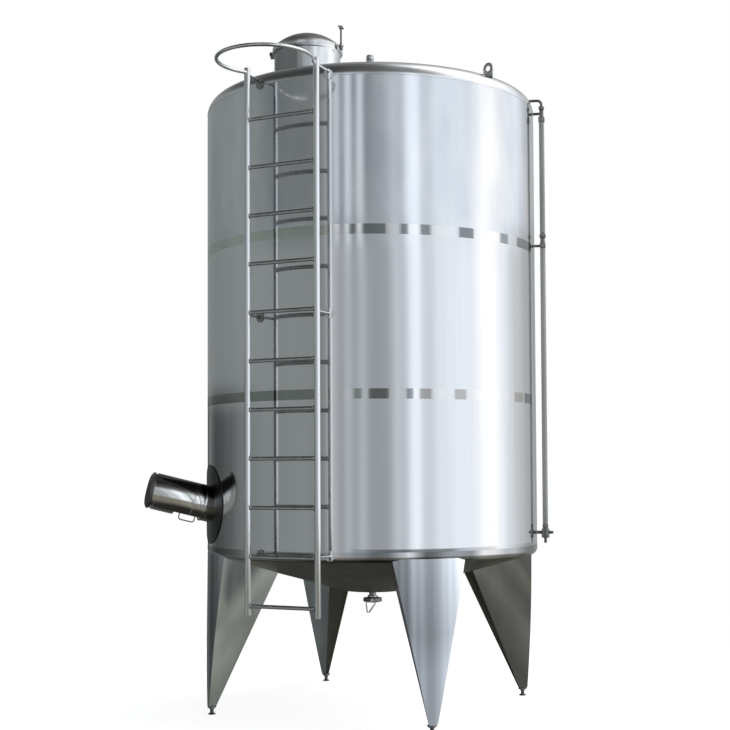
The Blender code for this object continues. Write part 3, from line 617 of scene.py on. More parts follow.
# %% The bands' finish
OLIVE = (0.94, 1.0, 0.93)
BEIGE = (1.0, 0.97, 0.93)
BLUE_GREY = (0.90, 0.95, 1.0)
BLOCK_BLUR = 0.4
UPPER_BLOCKS = (
    (-90.0, -13.6, 0.84, OLIVE), (-6.9, -4.9, 0.40, OLIVE), (-2.8, 4.6, 0.38, OLIVE),
    (9.2, 11.6, 0.38, BLUE_GREY), (15.6, 19.0, 0.40, BLUE_GREY), (29.0, 34.8, 0.34, BLUE_GREY),
    (47.0, 51.4, 0.45, BLUE_GREY), (57.2, 72.0, 0.50, BLUE_GREY))
LOWER_BLOCKS = (
    (-90.0, -17.0, 0.48, OLIVE), (-5.6, -3.0, 0.50, OLIVE), (-0.9, 5.2, 0.30, OLIVE),
    (10.8, 13.0, 0.42, BLUE_GREY), (15.0, 19.0, 0.52, BEIGE), (27.0, 31.4, 0.60, BEIGE),
    (54.6, 60.8, 0.66, BEIGE), (62.2, 69.6, 0.42, BLUE_GREY))


def band_finish(name, blocks):
    """A mirror strip with dark blocks; each block is (from, to, brightness, tint) by bearing."""
    finish = steel(name, (0.78, 0.78, 0.77), (0.85, 0.85, 0.85), roughness=0.05, spread=0.015,
                   streak=(12.0, ALONG_WALL), grain=(90.0, (1.0, 1.0, 6.0)), wave=(3.0, 0.0002),
                   grain_depth=0.000002)
    tree = finish.node_tree
    low, high = -HALF_TURN / 2, HALF_TURN / 2
    stops = []
    for first, last, level, tint in blocks:
        shade = tuple(level * part for part in tint)
        edges = ((first - BLOCK_BLUR, WHITE), (first + BLOCK_BLUR, shade),
                 (last - BLOCK_BLUR, shade), (last + BLOCK_BLUR, WHITE))
        if first <= low:
            stops.append((low, shade))
        stops += [(place, colour) for place, colour in edges if place > low]
    return shaded(finish, ramp(tree, round_the_tank(tree)[0], low, high, stops))


# %% The two bands
BAND_BELOW = 0.03215
BAND_ABOVE = 0.03085
for label, weld_level, blocks in (("lower", LOWER_WELD, LOWER_BLOCKS), ("upper", UPPER_WELD, UPPER_BLOCKS)):
    name = f"{label}_weld_band"
    rolled_ring(name, band_finish(f"mirror_of_{name}", blocks), TANK_RADIUS, 2 * BAND_PROUD + WELD_DIP,
                weld_level - BAND_BELOW, weld_level + BAND_ABOVE, cuts=1)

# %% [markdown]
# ## The dished roof
# The roof is spun from one sheet: a short rounded knuckle that turns into a shallow dome. A sphere
# could be squashed to it, but two arcs that meet without a crease give the true profile, and the lathe
# turns them. The manway's hole is cut through, and a thin bead of weld closes the seam to the wall.

# %% The roof
ROOF_KNUCKLE = 0.100
ROOF_EDGE_SLOPE = radians(14)
KNUCKLE_STEPS = 14
DOME_STEPS = 24
NECK_RADIUS = 0.220
NECK_TOP = 4.382
MANWAY_CENTRE = (-0.418, -0.400)
MANWAY_TURN = -27.4
SEAM_BEAD = 0.0022
SEAM_STEPS = 360


def roof_outline(offset=0.0):
    """The roof's outer surface from its edge up to the axis, moved outwards by offset."""
    knuckle_centre = (TANK_RADIUS - ROOF_KNUCKLE, roof_low.z)
    crown = ROOF_KNUCKLE + knuckle_centre[0] / sin(ROOF_EDGE_SLOPE)
    crown_height = knuckle_centre[1] - (crown - ROOF_KNUCKLE) * cos(ROOF_EDGE_SLOPE)
    knuckle = arc(knuckle_centre, ROOF_KNUCKLE + offset, 0, pi / 2 - ROOF_EDGE_SLOPE, KNUCKLE_STEPS)
    dome = arc((0, crown_height), crown + offset, pi / 2 - ROOF_EDGE_SLOPE, pi / 2, DOME_STEPS)
    return knuckle + dome[1:-1] + [(0.0, crown_height + crown + offset)]


MANWAY = ON_AXIS @ at(*MANWAY_CENTRE) @ Matrix.Rotation(radians(MANWAY_TURN), 4, "Z")
ROOF = steel("spun_roof", (0.78, 0.79, 0.80), (0.90, 0.91, 0.92), roughness=0.16, spread=0.04,
             streak=(6.0, EVEN), grain=(120.0, EVEN), wave=(2.0, 0.0004), grain_depth=0.000005)
WELD = steel("weld_beads", (0.55, 0.54, 0.52), (0.78, 0.78, 0.78), roughness=0.22, spread=0.06,
             streak=(60.0, EVEN))
roof_profile = roof_outline() + list(reversed(roof_outline(-WALL)))
roof = as_object("dished_roof", lathe(roof_profile, ROUND_STEPS), ROOF)
hole = moved(stacked(WALL_TOP, ((NECK_RADIUS + FIT_GAP, NECK_TOP - WALL_TOP),), steps=96), at(*MANWAY_CENTRE))
combined(roof, as_object("manway_hole", hole, ROOF))
dress("dished_roof", roof, ROOF, ON_AXIS, stands_for=["roof_end"])
seam_path = [(x, y, WALL_TOP) for x, y in arc((0, 0), TANK_RADIUS - SEAM_BEAD, 0, 2 * pi, SEAM_STEPS)[:-1]]
dress("roof_seam", sweep(seam_path, SEAM_BEAD, sides=10, closed=True), WELD, ON_AXIS)

# %% [markdown]
# ## The bottom end
# A shallow cone with a rounded rim lets the tank drain dry. It is turned like the roof, down to the round
# hole of the drain. The cone is dull, and its dark colour is painted shade under the tank, while its rim was
# polished together with the wall and its brightness by bearing is painted reflection. Two materials would
# meet in a hard line, so one finish does both: it changes from the polished rim to the dull cone over a few
# millimetres of height.

# %% The bottom end's finish
RIM_LOW = 1.042
RIM_BLUR = 0.002
RIM_ROUGHNESS = 0.14
# Painted reflections: the polished rim's brightness by bearing, in place of what it mirrors.
RIM_PAINTED_REFLECTIONS = (
    (-90, 0.30), (-50, 0.45), (-43, 0.75), (-34, 0.62), (-24, 0.60), (-18, 0.80), (-16, 1.00), (-14, 0.80),
    (-8, 0.60), (0, 0.32), (5, 0.36), (11, 0.85), (14, 0.35), (17, 0.14), (21, 0.20), (25, 0.34), (29, 0.32),
    (33, 0.26), (38, 0.68), (44, 0.60), (49, 0.50), (54, 0.62), (61, 0.37), (69, 0.22), (74, 0.36))


def underside_finish():
    # The cone's dark brown-grey colour is painted shade under the tank.
    finish = steel("bottom_end_sheet", (0.32, 0.30, 0.255), (0.49, 0.46, 0.39), roughness=0.42, spread=0.06,
                   streak=(5.0, EVEN), grain=(90.0, EVEN), wave=(3.0, 0.0004))
    tree = finish.node_tree
    sockets = tree.nodes["Principled BSDF"].inputs
    bearing, height = round_the_tank(tree)
    rim = ranged(tree, height, 0.0, 1.0, RIM_LOW - RIM_BLUR, RIM_LOW + RIM_BLUR)
    cone_painted_shade = sockets["Base Color"].links[0].from_socket
    dull_rough = sockets["Roughness"].links[0].from_socket
    tone = mixed(tree, rim, cone_painted_shade, levels_by(tree, bearing, RIM_PAINTED_REFLECTIONS))
    rough = node(tree, "ShaderNodeMix", {0: rim, 2: dull_rough, 3: RIM_ROUGHNESS}, data_type="FLOAT")
    tree.links.new(tone, sockets["Base Color"])
    tree.links.new(rough.outputs[0], sockets["Roughness"])
    return finish


# %% The bottom end
RIM_STRAIGHT = 1.075
RIM_KNUCKLE = 0.045
RIM_STEPS = 12
CONE_SLOPE = 0.28
CONE_FLOOR_RADIUS = 0.19
DRAIN_BORE = 0.0205


def floor_outline(offset=0.0):
    """The bottom end's outer surface from its rim down to the drain, moved outwards by offset."""
    slope = atan2(CONE_SLOPE, 1)
    centre = (TANK_RADIUS - RIM_KNUCKLE, RIM_STRAIGHT)
    knuckle = arc(centre, RIM_KNUCKLE + offset, 0, slope - pi / 2, RIM_STEPS)
    radius, height = knuckle[-1]
    floor_radius = CONE_FLOOR_RADIUS - offset * sin(slope)
    return knuckle + [(floor_radius, height - CONE_SLOPE * (radius - floor_radius))]


FLOOR_LEVEL = floor_outline()[-1][1]
rim_top = WALL_BOTTOM - FIT_GAP
outside = [(TANK_RADIUS, rim_top)] + floor_outline() + [(DRAIN_BORE, FLOOR_LEVEL)]
inside = [(TANK_RADIUS - WALL, rim_top)] + floor_outline(-WALL) + [(DRAIN_BORE, FLOOR_LEVEL + WALL)]
dress("cone_bottom", lathe(outside + list(reversed(inside)), ROUND_STEPS), underside_finish(),
      ON_AXIS, stands_for=["bottom_end"])
print("the cone's floor is at", round(FLOOR_LEVEL, 3))

# %% [markdown]
# ## The folded legs
# Each leg is one sheet, rolled to a nose and folded back into two cheeks that draw together behind it.
# It is wide at the tank and narrow at the foot, so the shape is a loft through sections at rising
# levels. A pair of sizes below is at the leg's base and at its top. The top is trimmed to the bottom
# end's own surface, which is why the seam curves. The inside was never polished and is dull.

# %% A leg's shape
LEG_BEARINGS = (18.5, 108.5, 198.5, 288.5)
LEG_BASE = 0.055
LEG_TOP = 1.058
LEG_SHEET = 0.004
NOSE_RADIUS = 0.613
NOSE_REACH = (1.146, 1.135)
CHEEK_LEAN = radians(15.7)
BACK_REACH = (1.093, 0.632)
BACK_HALF = (0.0128, 0.112)
NOSE_STEPS = 20
LEG_LEVELS = 16


def leg_section(share, inset=0.0):
    """One level of a folded leg, share 0 at its foot and 1 at its top: a rolled nose and two flat
    cheeks that draw together behind it, open at the back. The inside is inset by the sheet."""
    reach, back, half = [low + (high - low) * share for low, high in (NOSE_REACH, BACK_REACH, BACK_HALF)]
    height = LEG_BASE + (LEG_TOP - LEG_BASE) * share
    centre = reach - NOSE_RADIUS
    cheek_offset = half * cos(CHEEK_LEAN) - (back - centre) * sin(CHEEK_LEAN) - inset
    radius = NOSE_RADIUS - inset
    turn = CHEEK_LEAN + asin(cheek_offset / radius)
    side = half - inset / cos(CHEEK_LEAN)
    nose = arc((centre, 0), radius, -turn, turn, NOSE_STEPS)
    return [(x, y, height) for x, y in [(back, -side)] + nose + [(back, side)]]


def leg_shape():
    """The leg lies along +X here, from its foot up to its cut top. Its inside has the second finish."""
    shape = bmesh.new()
    levels = []
    for level in range(LEG_LEVELS + 1):
        share = level / LEG_LEVELS
        loop = leg_section(share) + list(reversed(leg_section(share, LEG_SHEET)))
        levels.append([shape.verts.new(point) for point in loop])
    count = len(levels[0])
    for low, high in zip(levels, levels[1:]):
        for index, face in enumerate(bridged(shape, low, high)):
            face.material_index = int(index >= count // 2)
    for level in (list(reversed(levels[0])), levels[-1]):
        for index in range(count // 2 - 1):
            mirror = count - 1 - index
            shape.faces.new([level[index], level[index + 1], level[mirror - 1], level[mirror]])
    return shape


def leg_top_plate():
    """The flat cap that closes the leg's top outside the wall."""
    outline = [(x, y) for x, y, _ in leg_section(1)]
    return moved(slab(outline, LEG_SHEET), at(z=LEG_TOP - LEG_SHEET / 2) @ LYING)


def tank_tool():
    """The bottom end and the wall as one solid, a hair larger, which trims what stands against them."""
    outline = floor_outline(FIT_GAP)
    body = [(0, LOWER_WELD), (TANK_RADIUS + FIT_GAP, LOWER_WELD)] + outline + [(0, outline[-1][1])]
    return as_object("tank_tool", lathe(body, ROUND_STEPS), SATIN)


# %% The legs' finishes
SATIN = steel("satin_steel", (0.50, 0.50, 0.50), (0.66, 0.66, 0.66), roughness=0.22, spread=0.05,
              streak=(20.0, EVEN))
LEG_INSIDE = steel("leg_inside", (0.40, 0.385, 0.33), (0.52, 0.50, 0.43), roughness=0.55, spread=0.06,
                   streak=(11.0, (1.0, 1.0, 0.3)), metallic=0.45)
# Painted reflections and light on the legs' sheet: bright and dark upright streaks across the leg, and a
# brightness that changes up it.
LEG_PAINTED_REFLECTIONS = (
    (-0.200, 0.50), (-0.185, 0.71), (-0.155, 0.52), (-0.115, 0.79), (-0.080, 0.52), (-0.040, 0.35),
    (0.000, 0.42), (0.040, 0.50), (0.075, 0.68), (0.100, 0.70), (0.125, 0.88), (0.150, 0.80), (0.180, 0.94))
LEG_PAINTED_LIGHT_UP = ((0.055, 1.05), (0.35, 1.05), (0.60, 0.78), (0.85, 0.95), (1.05, 1.15))


def leg_finish(bearing):
    """Leg sheet with painted reflections: upright streaks laid out across the leg, and painted light that
    changes up it.
    """
    finish = steel(f"leg_sheet_at_{bearing:.0f}", (0.79, 0.82, 0.86), (0.91, 0.94, 0.98), roughness=0.14,
                   spread=0.03, streak=(11.0, (1.0, 1.0, 0.06)), grain=(120.0, (1.0, 1.0, 0.2)),
                   wave=(3.0, 0.0001), grain_depth=0.000003)
    tree = finish.node_tree
    turned = node(tree, "ShaderNodeVectorRotate", {"Vector": from_point(tree, AXIS),
                                                   "Angle": radians(-bearing)}, rotation_type="Z_AXIS")
    parts = node(tree, "ShaderNodeSeparateXYZ", {0: turned}).outputs
    shaded(finish, levels_by(tree, parts["X"], LEG_PAINTED_REFLECTIONS))
    return shaded(finish, levels_by(tree, parts["Z"], LEG_PAINTED_LIGHT_UP))


# %% The four legs
for number, bearing in enumerate(LEG_BEARINGS, 1):
    name = f"folded_leg_{number}"
    finish = leg_finish(bearing)
    leg = as_object(name, leg_shape(), finish)
    leg.data.materials.append(LEG_INSIDE)
    combined(leg, as_object("cap", leg_top_plate(), finish), "UNION")
    tool = tank_tool()
    tool.data.transform(at(*-AXIS) @ outward(bearing).inverted() @ ON_AXIS)
    combined(leg, tool)
    dress(name, leg, finish, outward(bearing), stands_for=[f"leg_{number}"],
          bevel=0.0008, sharp=30)

# %% [markdown]
# ## The adjustable feet
# A small round pad, a stub of screw thread and a nut carry each leg. The Screw modifier could cut a
# true thread, but at this size a profile that rises and falls looks the same and stays closed. The nut
# has six flats, which a lathe with six steps gives at once.

# %% Threads and nuts
THREAD_PITCH = 0.003
THREAD_DEPTH = 0.0012
NUT_CHAMFER = 0.18
NUT_FACE = 0.86


def threaded(radius, low, high, pitch=THREAD_PITCH, depth=THREAD_DEPTH, steps=40):
    """A bar whose profile rises and falls like a screw thread."""
    profile = [(0, low), (radius - depth, low)]
    for turn in range(int((high - low) / pitch)):
        profile += [(radius, low + (turn + 0.5) * pitch), (radius - depth, low + (turn + 1) * pitch)]
    return lathe(profile + [(radius - depth, high), (0, high)], steps)


def hex_nut(radius, low, high):
    """A nut with chamfered corners, its radius over the corners."""
    chamfer = (high - low) * NUT_CHAMFER
    face = radius * NUT_FACE
    profile = [(0, low), (face, low), (radius, low + chamfer), (radius, high - chamfer), (face, high),
               (0, high)]
    return lathe(profile, steps=6)


# %% The feet
CAST = steel("dark_castings", (0.16, 0.16, 0.16), (0.28, 0.28, 0.27), roughness=0.34, spread=0.06,
             streak=(40.0, EVEN), grain=(220.0, EVEN), wave=(30.0, 0.0002), grain_depth=0.00004)
FOOT_DISC = (0.025, 0.010)
FOOT_THREAD = (0.013, 0.024)
FOOT_NUT = (0.019, 0.010)
FOOT_CAP_RADIUS = 0.029
FOOT_EDGE = 0.002
FOOT_SIDE = 0.006
FOOT_SHOULDER = 0.003
FOOT_REACH = 1.120
disc_radius, disc_top = FOOT_DISC
thread_top = disc_top + FOOT_THREAD[1]
nut_top = thread_top + FOOT_NUT[1]
pad_profile = [(0, 0), (disc_radius - FOOT_EDGE, 0), (disc_radius, FOOT_EDGE), (disc_radius, FOOT_SIDE),
               (FOOT_THREAD[0] + FOOT_SHOULDER, disc_top), (0, disc_top)]
for number, bearing in enumerate(LEG_BEARINGS, 1):
    cap = stacked(nut_top, ((FOOT_CAP_RADIUS, LEG_BASE - FIT_GAP - nut_top),))
    foot = joined(lathe(pad_profile, steps=48), threaded(FOOT_THREAD[0], disc_top, thread_top),
                  hex_nut(FOOT_NUT[0], thread_top, nut_top), cap)
    dress(f"levelling_foot_{number}", foot, CAST, outward(bearing) @ at(x=FOOT_REACH),
          stands_for=[f"foot_{number}"], bevel=0.0006, sharp=40)

# %% [markdown]
# ## The ladder
# Two upright tubes and eleven rungs, held off the wall by short bars with round pads. The tubes end
# in a shallow cap at the top. In a polished tube the wall behind it is mirrored as a dark side, which
# a shade across the tube keeps wherever it is seen from.

# %% A shade across a piece
def across(finish, origin, direction, levels):
    """Shade a finish by levels that follow the distance from origin along a direction."""
    tree = finish.node_tree
    along = vectors(tree, "DOT_PRODUCT", from_point(tree, origin), direction, result="Value")
    return shaded(finish, levels_by(tree, along, levels))


# %% The stiles
LADDER_BEARING = -25.8
STILE_SPACING = 0.485
STILE_RADIUS = 0.019
STILE_REACH = 1.255
STILE_BOTTOM = 0.712
STILE_TOP = 4.100
STILE_CROWN = 0.004
STANDOFF_HEIGHTS = (1.078, 2.560, 4.036)
STANDOFF_LIFTS = (0, 0, 0.022)
STANDOFF_RADIUS = 0.008
COLLAR_SIZE = (0.005, 0.006)
PAD_RADIUS = 0.032
PAD_THICKNESS = 0.004
PAD_EDGE = 0.002
HALF_LADDER = STILE_SPACING / 2
PAD_SEAT = sqrt(TANK_RADIUS ** 2 - HALF_LADDER ** 2)
LADDER = around(LADDER_BEARING)


def stile_tube():
    foot = arc((0, STILE_BOTTOM + STILE_CROWN), STILE_RADIUS, -pi / 2, 0, steps=1)[1:]
    head = [(STILE_RADIUS, STILE_TOP - STILE_CROWN), (STILE_RADIUS * 0.8, STILE_TOP - STILE_CROWN / 4)]
    return lathe([(0, STILE_BOTTOM)] + foot + head + [(0, STILE_TOP)], steps=40)


def standoff(side, height, lift):
    """A bar from the stile to the wall, its round pad and the collar of weld between them."""
    start = (side * HALF_LADDER, -STILE_REACH, height + lift)
    end = (side * HALF_LADDER, -PAD_SEAT - PAD_THICKNESS, height + lift)
    pad = lathe([(0, FIT_GAP), (PAD_RADIUS, FIT_GAP), (PAD_RADIUS, PAD_THICKNESS),
                 (PAD_RADIUS - PAD_EDGE, PAD_THICKNESS + FIT_GAP), (0, PAD_THICKNESS + FIT_GAP)], steps=40)
    lean = Matrix.Rotation(side * asin(HALF_LADDER / TANK_RADIUS), 4, "Z")
    width, length = COLLAR_SIZE
    collar = lathe([(STANDOFF_RADIUS, 0), (STANDOFF_RADIUS + width, 0), (STANDOFF_RADIUS, length)], steps=24)
    return [sweep([start, end], STANDOFF_RADIUS, sides=20),
            moved(pad, at(side * HALF_LADDER, -PAD_SEAT, height) @ lean @ LYING),
            moved(collar, at(*end) @ LYING)]


STILE_LEVELS = {
    "left": ((-STILE_RADIUS, 1.0), (0.3 * STILE_RADIUS, 1.0), (0.6 * STILE_RADIUS, 0.42), (0.05, 0.40)),
    "right": ((-STILE_RADIUS, 1.0), (STILE_RADIUS, 1.0))}
DRAWN = {"streak": (8.0, ALONG_WALL), "grain": (140.0, (1.0, 1.0, 0.4)), "grain_depth": 0.000004}
inwards = LADDER.to_3x3() @ Vector((0, 1, 0))
for side, label in ((-1, "left"), (1, "right")):
    parts = [moved(stile_tube(), at(side * HALF_LADDER, -STILE_REACH))]
    for height, lift in zip(STANDOFF_HEIGHTS, STANDOFF_LIFTS):
        parts += standoff(side, height, lift)
    tube = steel(f"{label}_stile_tube", (0.78, 0.79, 0.80), (0.90, 0.91, 0.92), roughness=0.12, **DRAWN)
    across(tube, LADDER @ Vector((side * HALF_LADDER, -STILE_REACH, 0)), inwards, STILE_LEVELS[label])
    dress(f"{label}_stile", joined(*parts), tube, LADDER,
          stands_for=[f"ladder_stile_{label}"], bevel=0.0005, sharp=40)

# %% [markdown]
# ## The rungs, from a tree
# Eleven equal rungs are the plainest case for Geometry Nodes. An Array modifier could repeat one rung
# too, but the tree also makes the rung: a bar and its two weld collars, which stand on every point of
# a line up the ladder. Pitch, count and sizes stay named inputs.

# %% The rungs, from a tree
RUNG_COUNT = 11
RUNG_PITCH = 0.300
FIRST_RUNG = 0.773
RUNG_RADIUS = 0.0125
RUNG_COLLAR = 0.004
RUNG_SIDES = 28
COLLAR_SIDES = 10
RUNG_HALF = HALF_LADDER - STILE_RADIUS - FIT_GAP


def rung_tree():
    tree, sizes, end = new_tree("Ladder rungs", Count=11, Pitch=0.3, First=0.75, Length=0.4, Radius=0.0125,
                                Collar=0.016)
    bar = node(tree, "GeometryNodeMeshCylinder", {"Vertices": RUNG_SIDES, "Radius": sizes["Radius"],
                                                  "Depth": sizes["Length"]})
    spread = maths(tree, "SUBTRACT", sizes["Collar"], sizes["Radius"])
    ring = circle(tree, RUNG_SIDES, sizes["Radius"])
    bead = circle(tree, COLLAR_SIDES, spread)
    collar = node(tree, "GeometryNodeCurveToMesh", {"Curve": ring, "Profile Curve": bead})
    inset = maths(tree, "SUBTRACT", maths(tree, "MULTIPLY", sizes["Length"], 0.5), spread)
    parts = [bar]
    for level in (inset, maths(tree, "MULTIPLY", inset, -1.0)):
        shift = node(tree, "ShaderNodeCombineXYZ", {"Z": level})
        parts.append(node(tree, "GeometryNodeTransform", {"Geometry": collar, "Translation": shift}))
    rung = node(tree, "GeometryNodeJoinGeometry")
    for part in parts:
        tree.links.new(part.outputs[0], rung.inputs[0])
    level_rung = node(tree, "GeometryNodeTransform", {"Geometry": rung, "Rotation": (0.0, pi / 2, 0.0)})
    start = node(tree, "ShaderNodeCombineXYZ", {"Z": sizes["First"]})
    step = node(tree, "ShaderNodeCombineXYZ", {"Z": sizes["Pitch"]})
    line = node(tree, "GeometryNodeMeshLine", {"Count": sizes["Count"], "Start Location": start,
                                               "Offset": step})
    rungs = node(tree, "GeometryNodeInstanceOnPoints", {"Points": line, "Instance": level_rung})
    tree.links.new(rungs.outputs[0], end)
    return tree


rungs = grow("ladder_rungs", rung_tree(), SATIN, Count=RUNG_COUNT, Pitch=RUNG_PITCH, First=FIRST_RUNG,
             Length=2 * RUNG_HALF, Radius=RUNG_RADIUS, Collar=RUNG_RADIUS + RUNG_COLLAR)
rungs.data.transform(LADDER @ at(y=-STILE_REACH))
smoothed(rungs, sharp=40)
hand_over(rungs, "tank", [f"ladder_rung_{number + 1:02d}" for number in range(RUNG_COUNT)])

# %% [markdown]
# ## The hoop at the ladder's head
# One tube bent to a ring that opens towards the tank, so that the climber steps through it. A curve
# with a round bevel could be it; the same sweep as for the bars keeps it a plain mesh. The path is an
# arc with two short straight ends on the stiles.

# %% The hoop
TUBE = steel("polished_tube", (0.74, 0.75, 0.76), (0.86, 0.87, 0.88), roughness=0.10, **DRAWN)
HOOP_HEIGHT = 4.066
HOOP_RADIUS = 0.293
HOOP_OFFSET = 0.195
HOOP_TUBE = 0.0115
HOOP_STEPS = 96
HOOP_EASE = 0.0013
hoop_centre = (0, -STILE_REACH - HOOP_OFFSET)
hoop_opening = atan2(sqrt(HOOP_RADIUS ** 2 - HALF_LADDER ** 2), HALF_LADDER)
hoop_bend = arc(hoop_centre, HOOP_RADIUS - HOOP_EASE, hoop_opening, -pi - hoop_opening, HOOP_STEPS)
hoop_seat = -STILE_REACH - STILE_RADIUS - FIT_GAP
hoop_route = [(HALF_LADDER, hoop_seat)] + hoop_bend + [(-HALF_LADDER, hoop_seat)]
dress("safety_hoop", sweep([(x, y, HOOP_HEIGHT) for x, y in hoop_route], HOOP_TUBE, sides=24), TUBE,
      LADDER, stands_for=["ladder_hoop"], sharp=50)

# %% [markdown]
# ## The manway
# A short neck with a flange, wide enough for a person. The lid turns on a pin at its left and is held
# by a clamp screw on the right. Everything is built in the manway's own frame, turned on the roof, so
# that the neck, the pin and the lid share one set of sizes. Shades across the neck and up the lid keep
# their dark sides, where the real steel mirrors what stands behind.

# %% The neck with its flange and ears
NECK_WALL = 0.006
NECK_BOTTOM = 4.165
FLANGE_RADIUS = 0.235
FLANGE_THICKNESS = 0.012
FLANGE_FILLET = 0.004
HINGE_REACH = 0.265
HINGE_LIFT = 0.027
HINGE_LEVEL = NECK_TOP + HINGE_LIFT
EAR_RADIUS = 0.013
EAR_THICKNESS = 0.008
EAR_SPACING = 0.059
EAR_INSET = 0.002
NECK_LEVELS = ((-FLANGE_RADIUS, 0.42), (-0.035, 0.50), (0.005, 1.0), (FLANGE_RADIUS, 1.0))
neck_inside = NECK_RADIUS - NECK_WALL
flange_low = NECK_TOP - FLANGE_THICKNESS
neck = lathe([(neck_inside, NECK_BOTTOM), (NECK_RADIUS, NECK_BOTTOM),
              (NECK_RADIUS, flange_low - FLANGE_FILLET), (NECK_RADIUS + FLANGE_FILLET, flange_low),
              (FLANGE_RADIUS, flange_low), (FLANGE_RADIUS, NECK_TOP), (neck_inside, NECK_TOP)], steps=120)
ear_root = -FLANGE_RADIUS + NECK_WALL
ear_outline = arc((-HINGE_REACH, HINGE_LEVEL), EAR_RADIUS, pi, 0, steps=14)
ear_outline += [(-HINGE_REACH + EAR_RADIUS, NECK_TOP), (ear_root, NECK_TOP - EAR_INSET),
                (ear_root, flange_low + EAR_INSET), (-HINGE_REACH, flange_low + EAR_INSET)]
ears = [moved(slab(ear_outline, EAR_THICKNESS), at(y=side * EAR_SPACING / 2)) for side in (-1, 1)]
NECK = steel("manway_sheet", (0.72, 0.73, 0.74), (0.88, 0.89, 0.90), roughness=0.18, spread=0.05,
             streak=(14.0, (1.0, 1.0, 0.3)))
across(NECK, MANWAY.translation, Vector((1, 0, 0)), NECK_LEVELS)
dress("manway_neck_and_flange", joined(neck, *ears), NECK, MANWAY,
      stands_for=["manway_neck"], bevel=0.0008, sharp=38)

# %% [markdown]
# ## The weld round the neck
# A weld is a row of small frozen ripples. Bump in a finish could only hint at them. A tree walks along
# a path, drops a rough pebble every few millimetres, and the pebbles run into one another. The path is
# the neck's circle, set down on the roof's own profile.


# %% The tree for weld beads
def weld_tree():
    tree, sizes, end = new_tree("Weld bead", Spacing=0.004, Bead=0.004)
    curve = node(tree, "GeometryNodeMeshToCurve", {"Mesh": sizes["Geometry"]})
    even = node(tree, "GeometryNodeResampleCurve", {"Curve": curve, "Length": sizes["Spacing"]},
                mode="LENGTH")
    pebble = node(tree, "GeometryNodeMeshIcoSphere", {"Radius": 1.0, "Subdivisions": 1})
    soft = node(tree, "GeometryNodeSetShadeSmooth", {"Geometry": pebble})
    size = node(tree, "ShaderNodeCombineXYZ", {axis: sizes["Bead"] for axis in "XYZ"})
    beads = node(tree, "GeometryNodeInstanceOnPoints", {"Points": even, "Instance": soft, "Scale": size})
    tree.links.new(beads.outputs[0], end)
    return tree


# %% The weld round the neck
WELD_BEAD = 0.0045
WELD_SPACING = 0.006
WELD_STEPS = 120
WELD_OUT = 0.002
WELD_UP = 0.001


def roof_height(radius):
    """The height of the roof's outer surface at a distance from the axis."""
    outline = roof_outline()
    above = max(pair for pair in range(len(outline) - 1) if outline[pair][0] >= radius)
    (far, low), (near, high) = outline[above], outline[above + 1]
    return low + (high - low) * (far - radius) / (far - near)


seat = []
for turn in full_turn(WELD_STEPS):
    point = Vector(MANWAY_CENTRE) + Vector((cos(turn), sin(turn))) * (NECK_RADIUS + WELD_OUT)
    seat.append((point.x, point.y, roof_height(point.length) + WELD_UP))
neck_circle = bpy.data.meshes.new("path")
neck_circle.from_pydata(seat, [(step, (step + 1) % WELD_STEPS) for step in range(WELD_STEPS)], [])
neck_weld = grow("neck_weld", weld_tree(), WELD, start=neck_circle, Bead=WELD_BEAD, Spacing=WELD_SPACING)
neck_weld.data.transform(ON_AXIS)
neck_weld.data.shade_smooth()
hand_over(neck_weld, "tank")

# %% The hinge pin
PIN_RADIUS = 0.005
PIN_LENGTH = 0.080
PIN_HEAD = (0.0075, 0.004)
head_length = PIN_HEAD[1]
pin = stacked(-PIN_LENGTH / 2, (PIN_HEAD, (PIN_RADIUS, PIN_LENGTH - 2 * head_length), PIN_HEAD), steps=32)
dress("lid_pin", moved(pin, at(-HINGE_REACH, 0, HINGE_LEVEL) @ LYING), CAST, MANWAY,
      stands_for=["manway_hinge_pin"], bevel=0.0005)

# %% The lid with its arm and tab
LID_EDGE = 0.024
LID_INSET = 0.003
LID_LIFT = 0.0005
LID_RISE = 0.100
LID_SHEET = 0.004
LID_STEPS = 20
ARM_RADIUS = 0.011
ARM_WIDTH = 0.040
CLAMP_REACH = 0.256
CLAMP_TAB_WIDTH = 0.036
CLAMP_TAB_THICKNESS = 0.008
CLAMP_TAB_LIFT = 0.010
CLAMP_TAB_END = CLAMP_REACH + 0.013
LID_LEVELS = ((0.0, 1.0), (0.030, 1.0), (0.044, 0.40), (LID_RISE, 0.34), (0.2, 0.40))
LID_BASE = HINGE_LEVEL - HINGE_LIFT + LID_LIFT
RIM_RADIUS = FLANGE_RADIUS - LID_INSET


def lid_profile():
    """A domed lid with an upright edge, open underneath."""
    crown = (RIM_RADIUS ** 2 + LID_RISE ** 2) / (2 * LID_RISE)
    centre = (0, LID_BASE + LID_EDGE + LID_RISE - crown)
    edge_angle = asin(RIM_RADIUS / crown)
    inner_edge = asin((RIM_RADIUS - LID_SHEET) / (crown - LID_SHEET))
    outer = arc(centre, crown, pi / 2 - edge_angle, pi / 2, LID_STEPS)
    inner = arc(centre, crown - LID_SHEET, pi / 2, pi / 2 - inner_edge, LID_STEPS)
    outer[-1] = (0.0, outer[-1][1])
    inner[0] = (0.0, inner[0][1])
    return outer + inner + [(inner[-1][0], LID_BASE), (RIM_RADIUS, LID_BASE)]


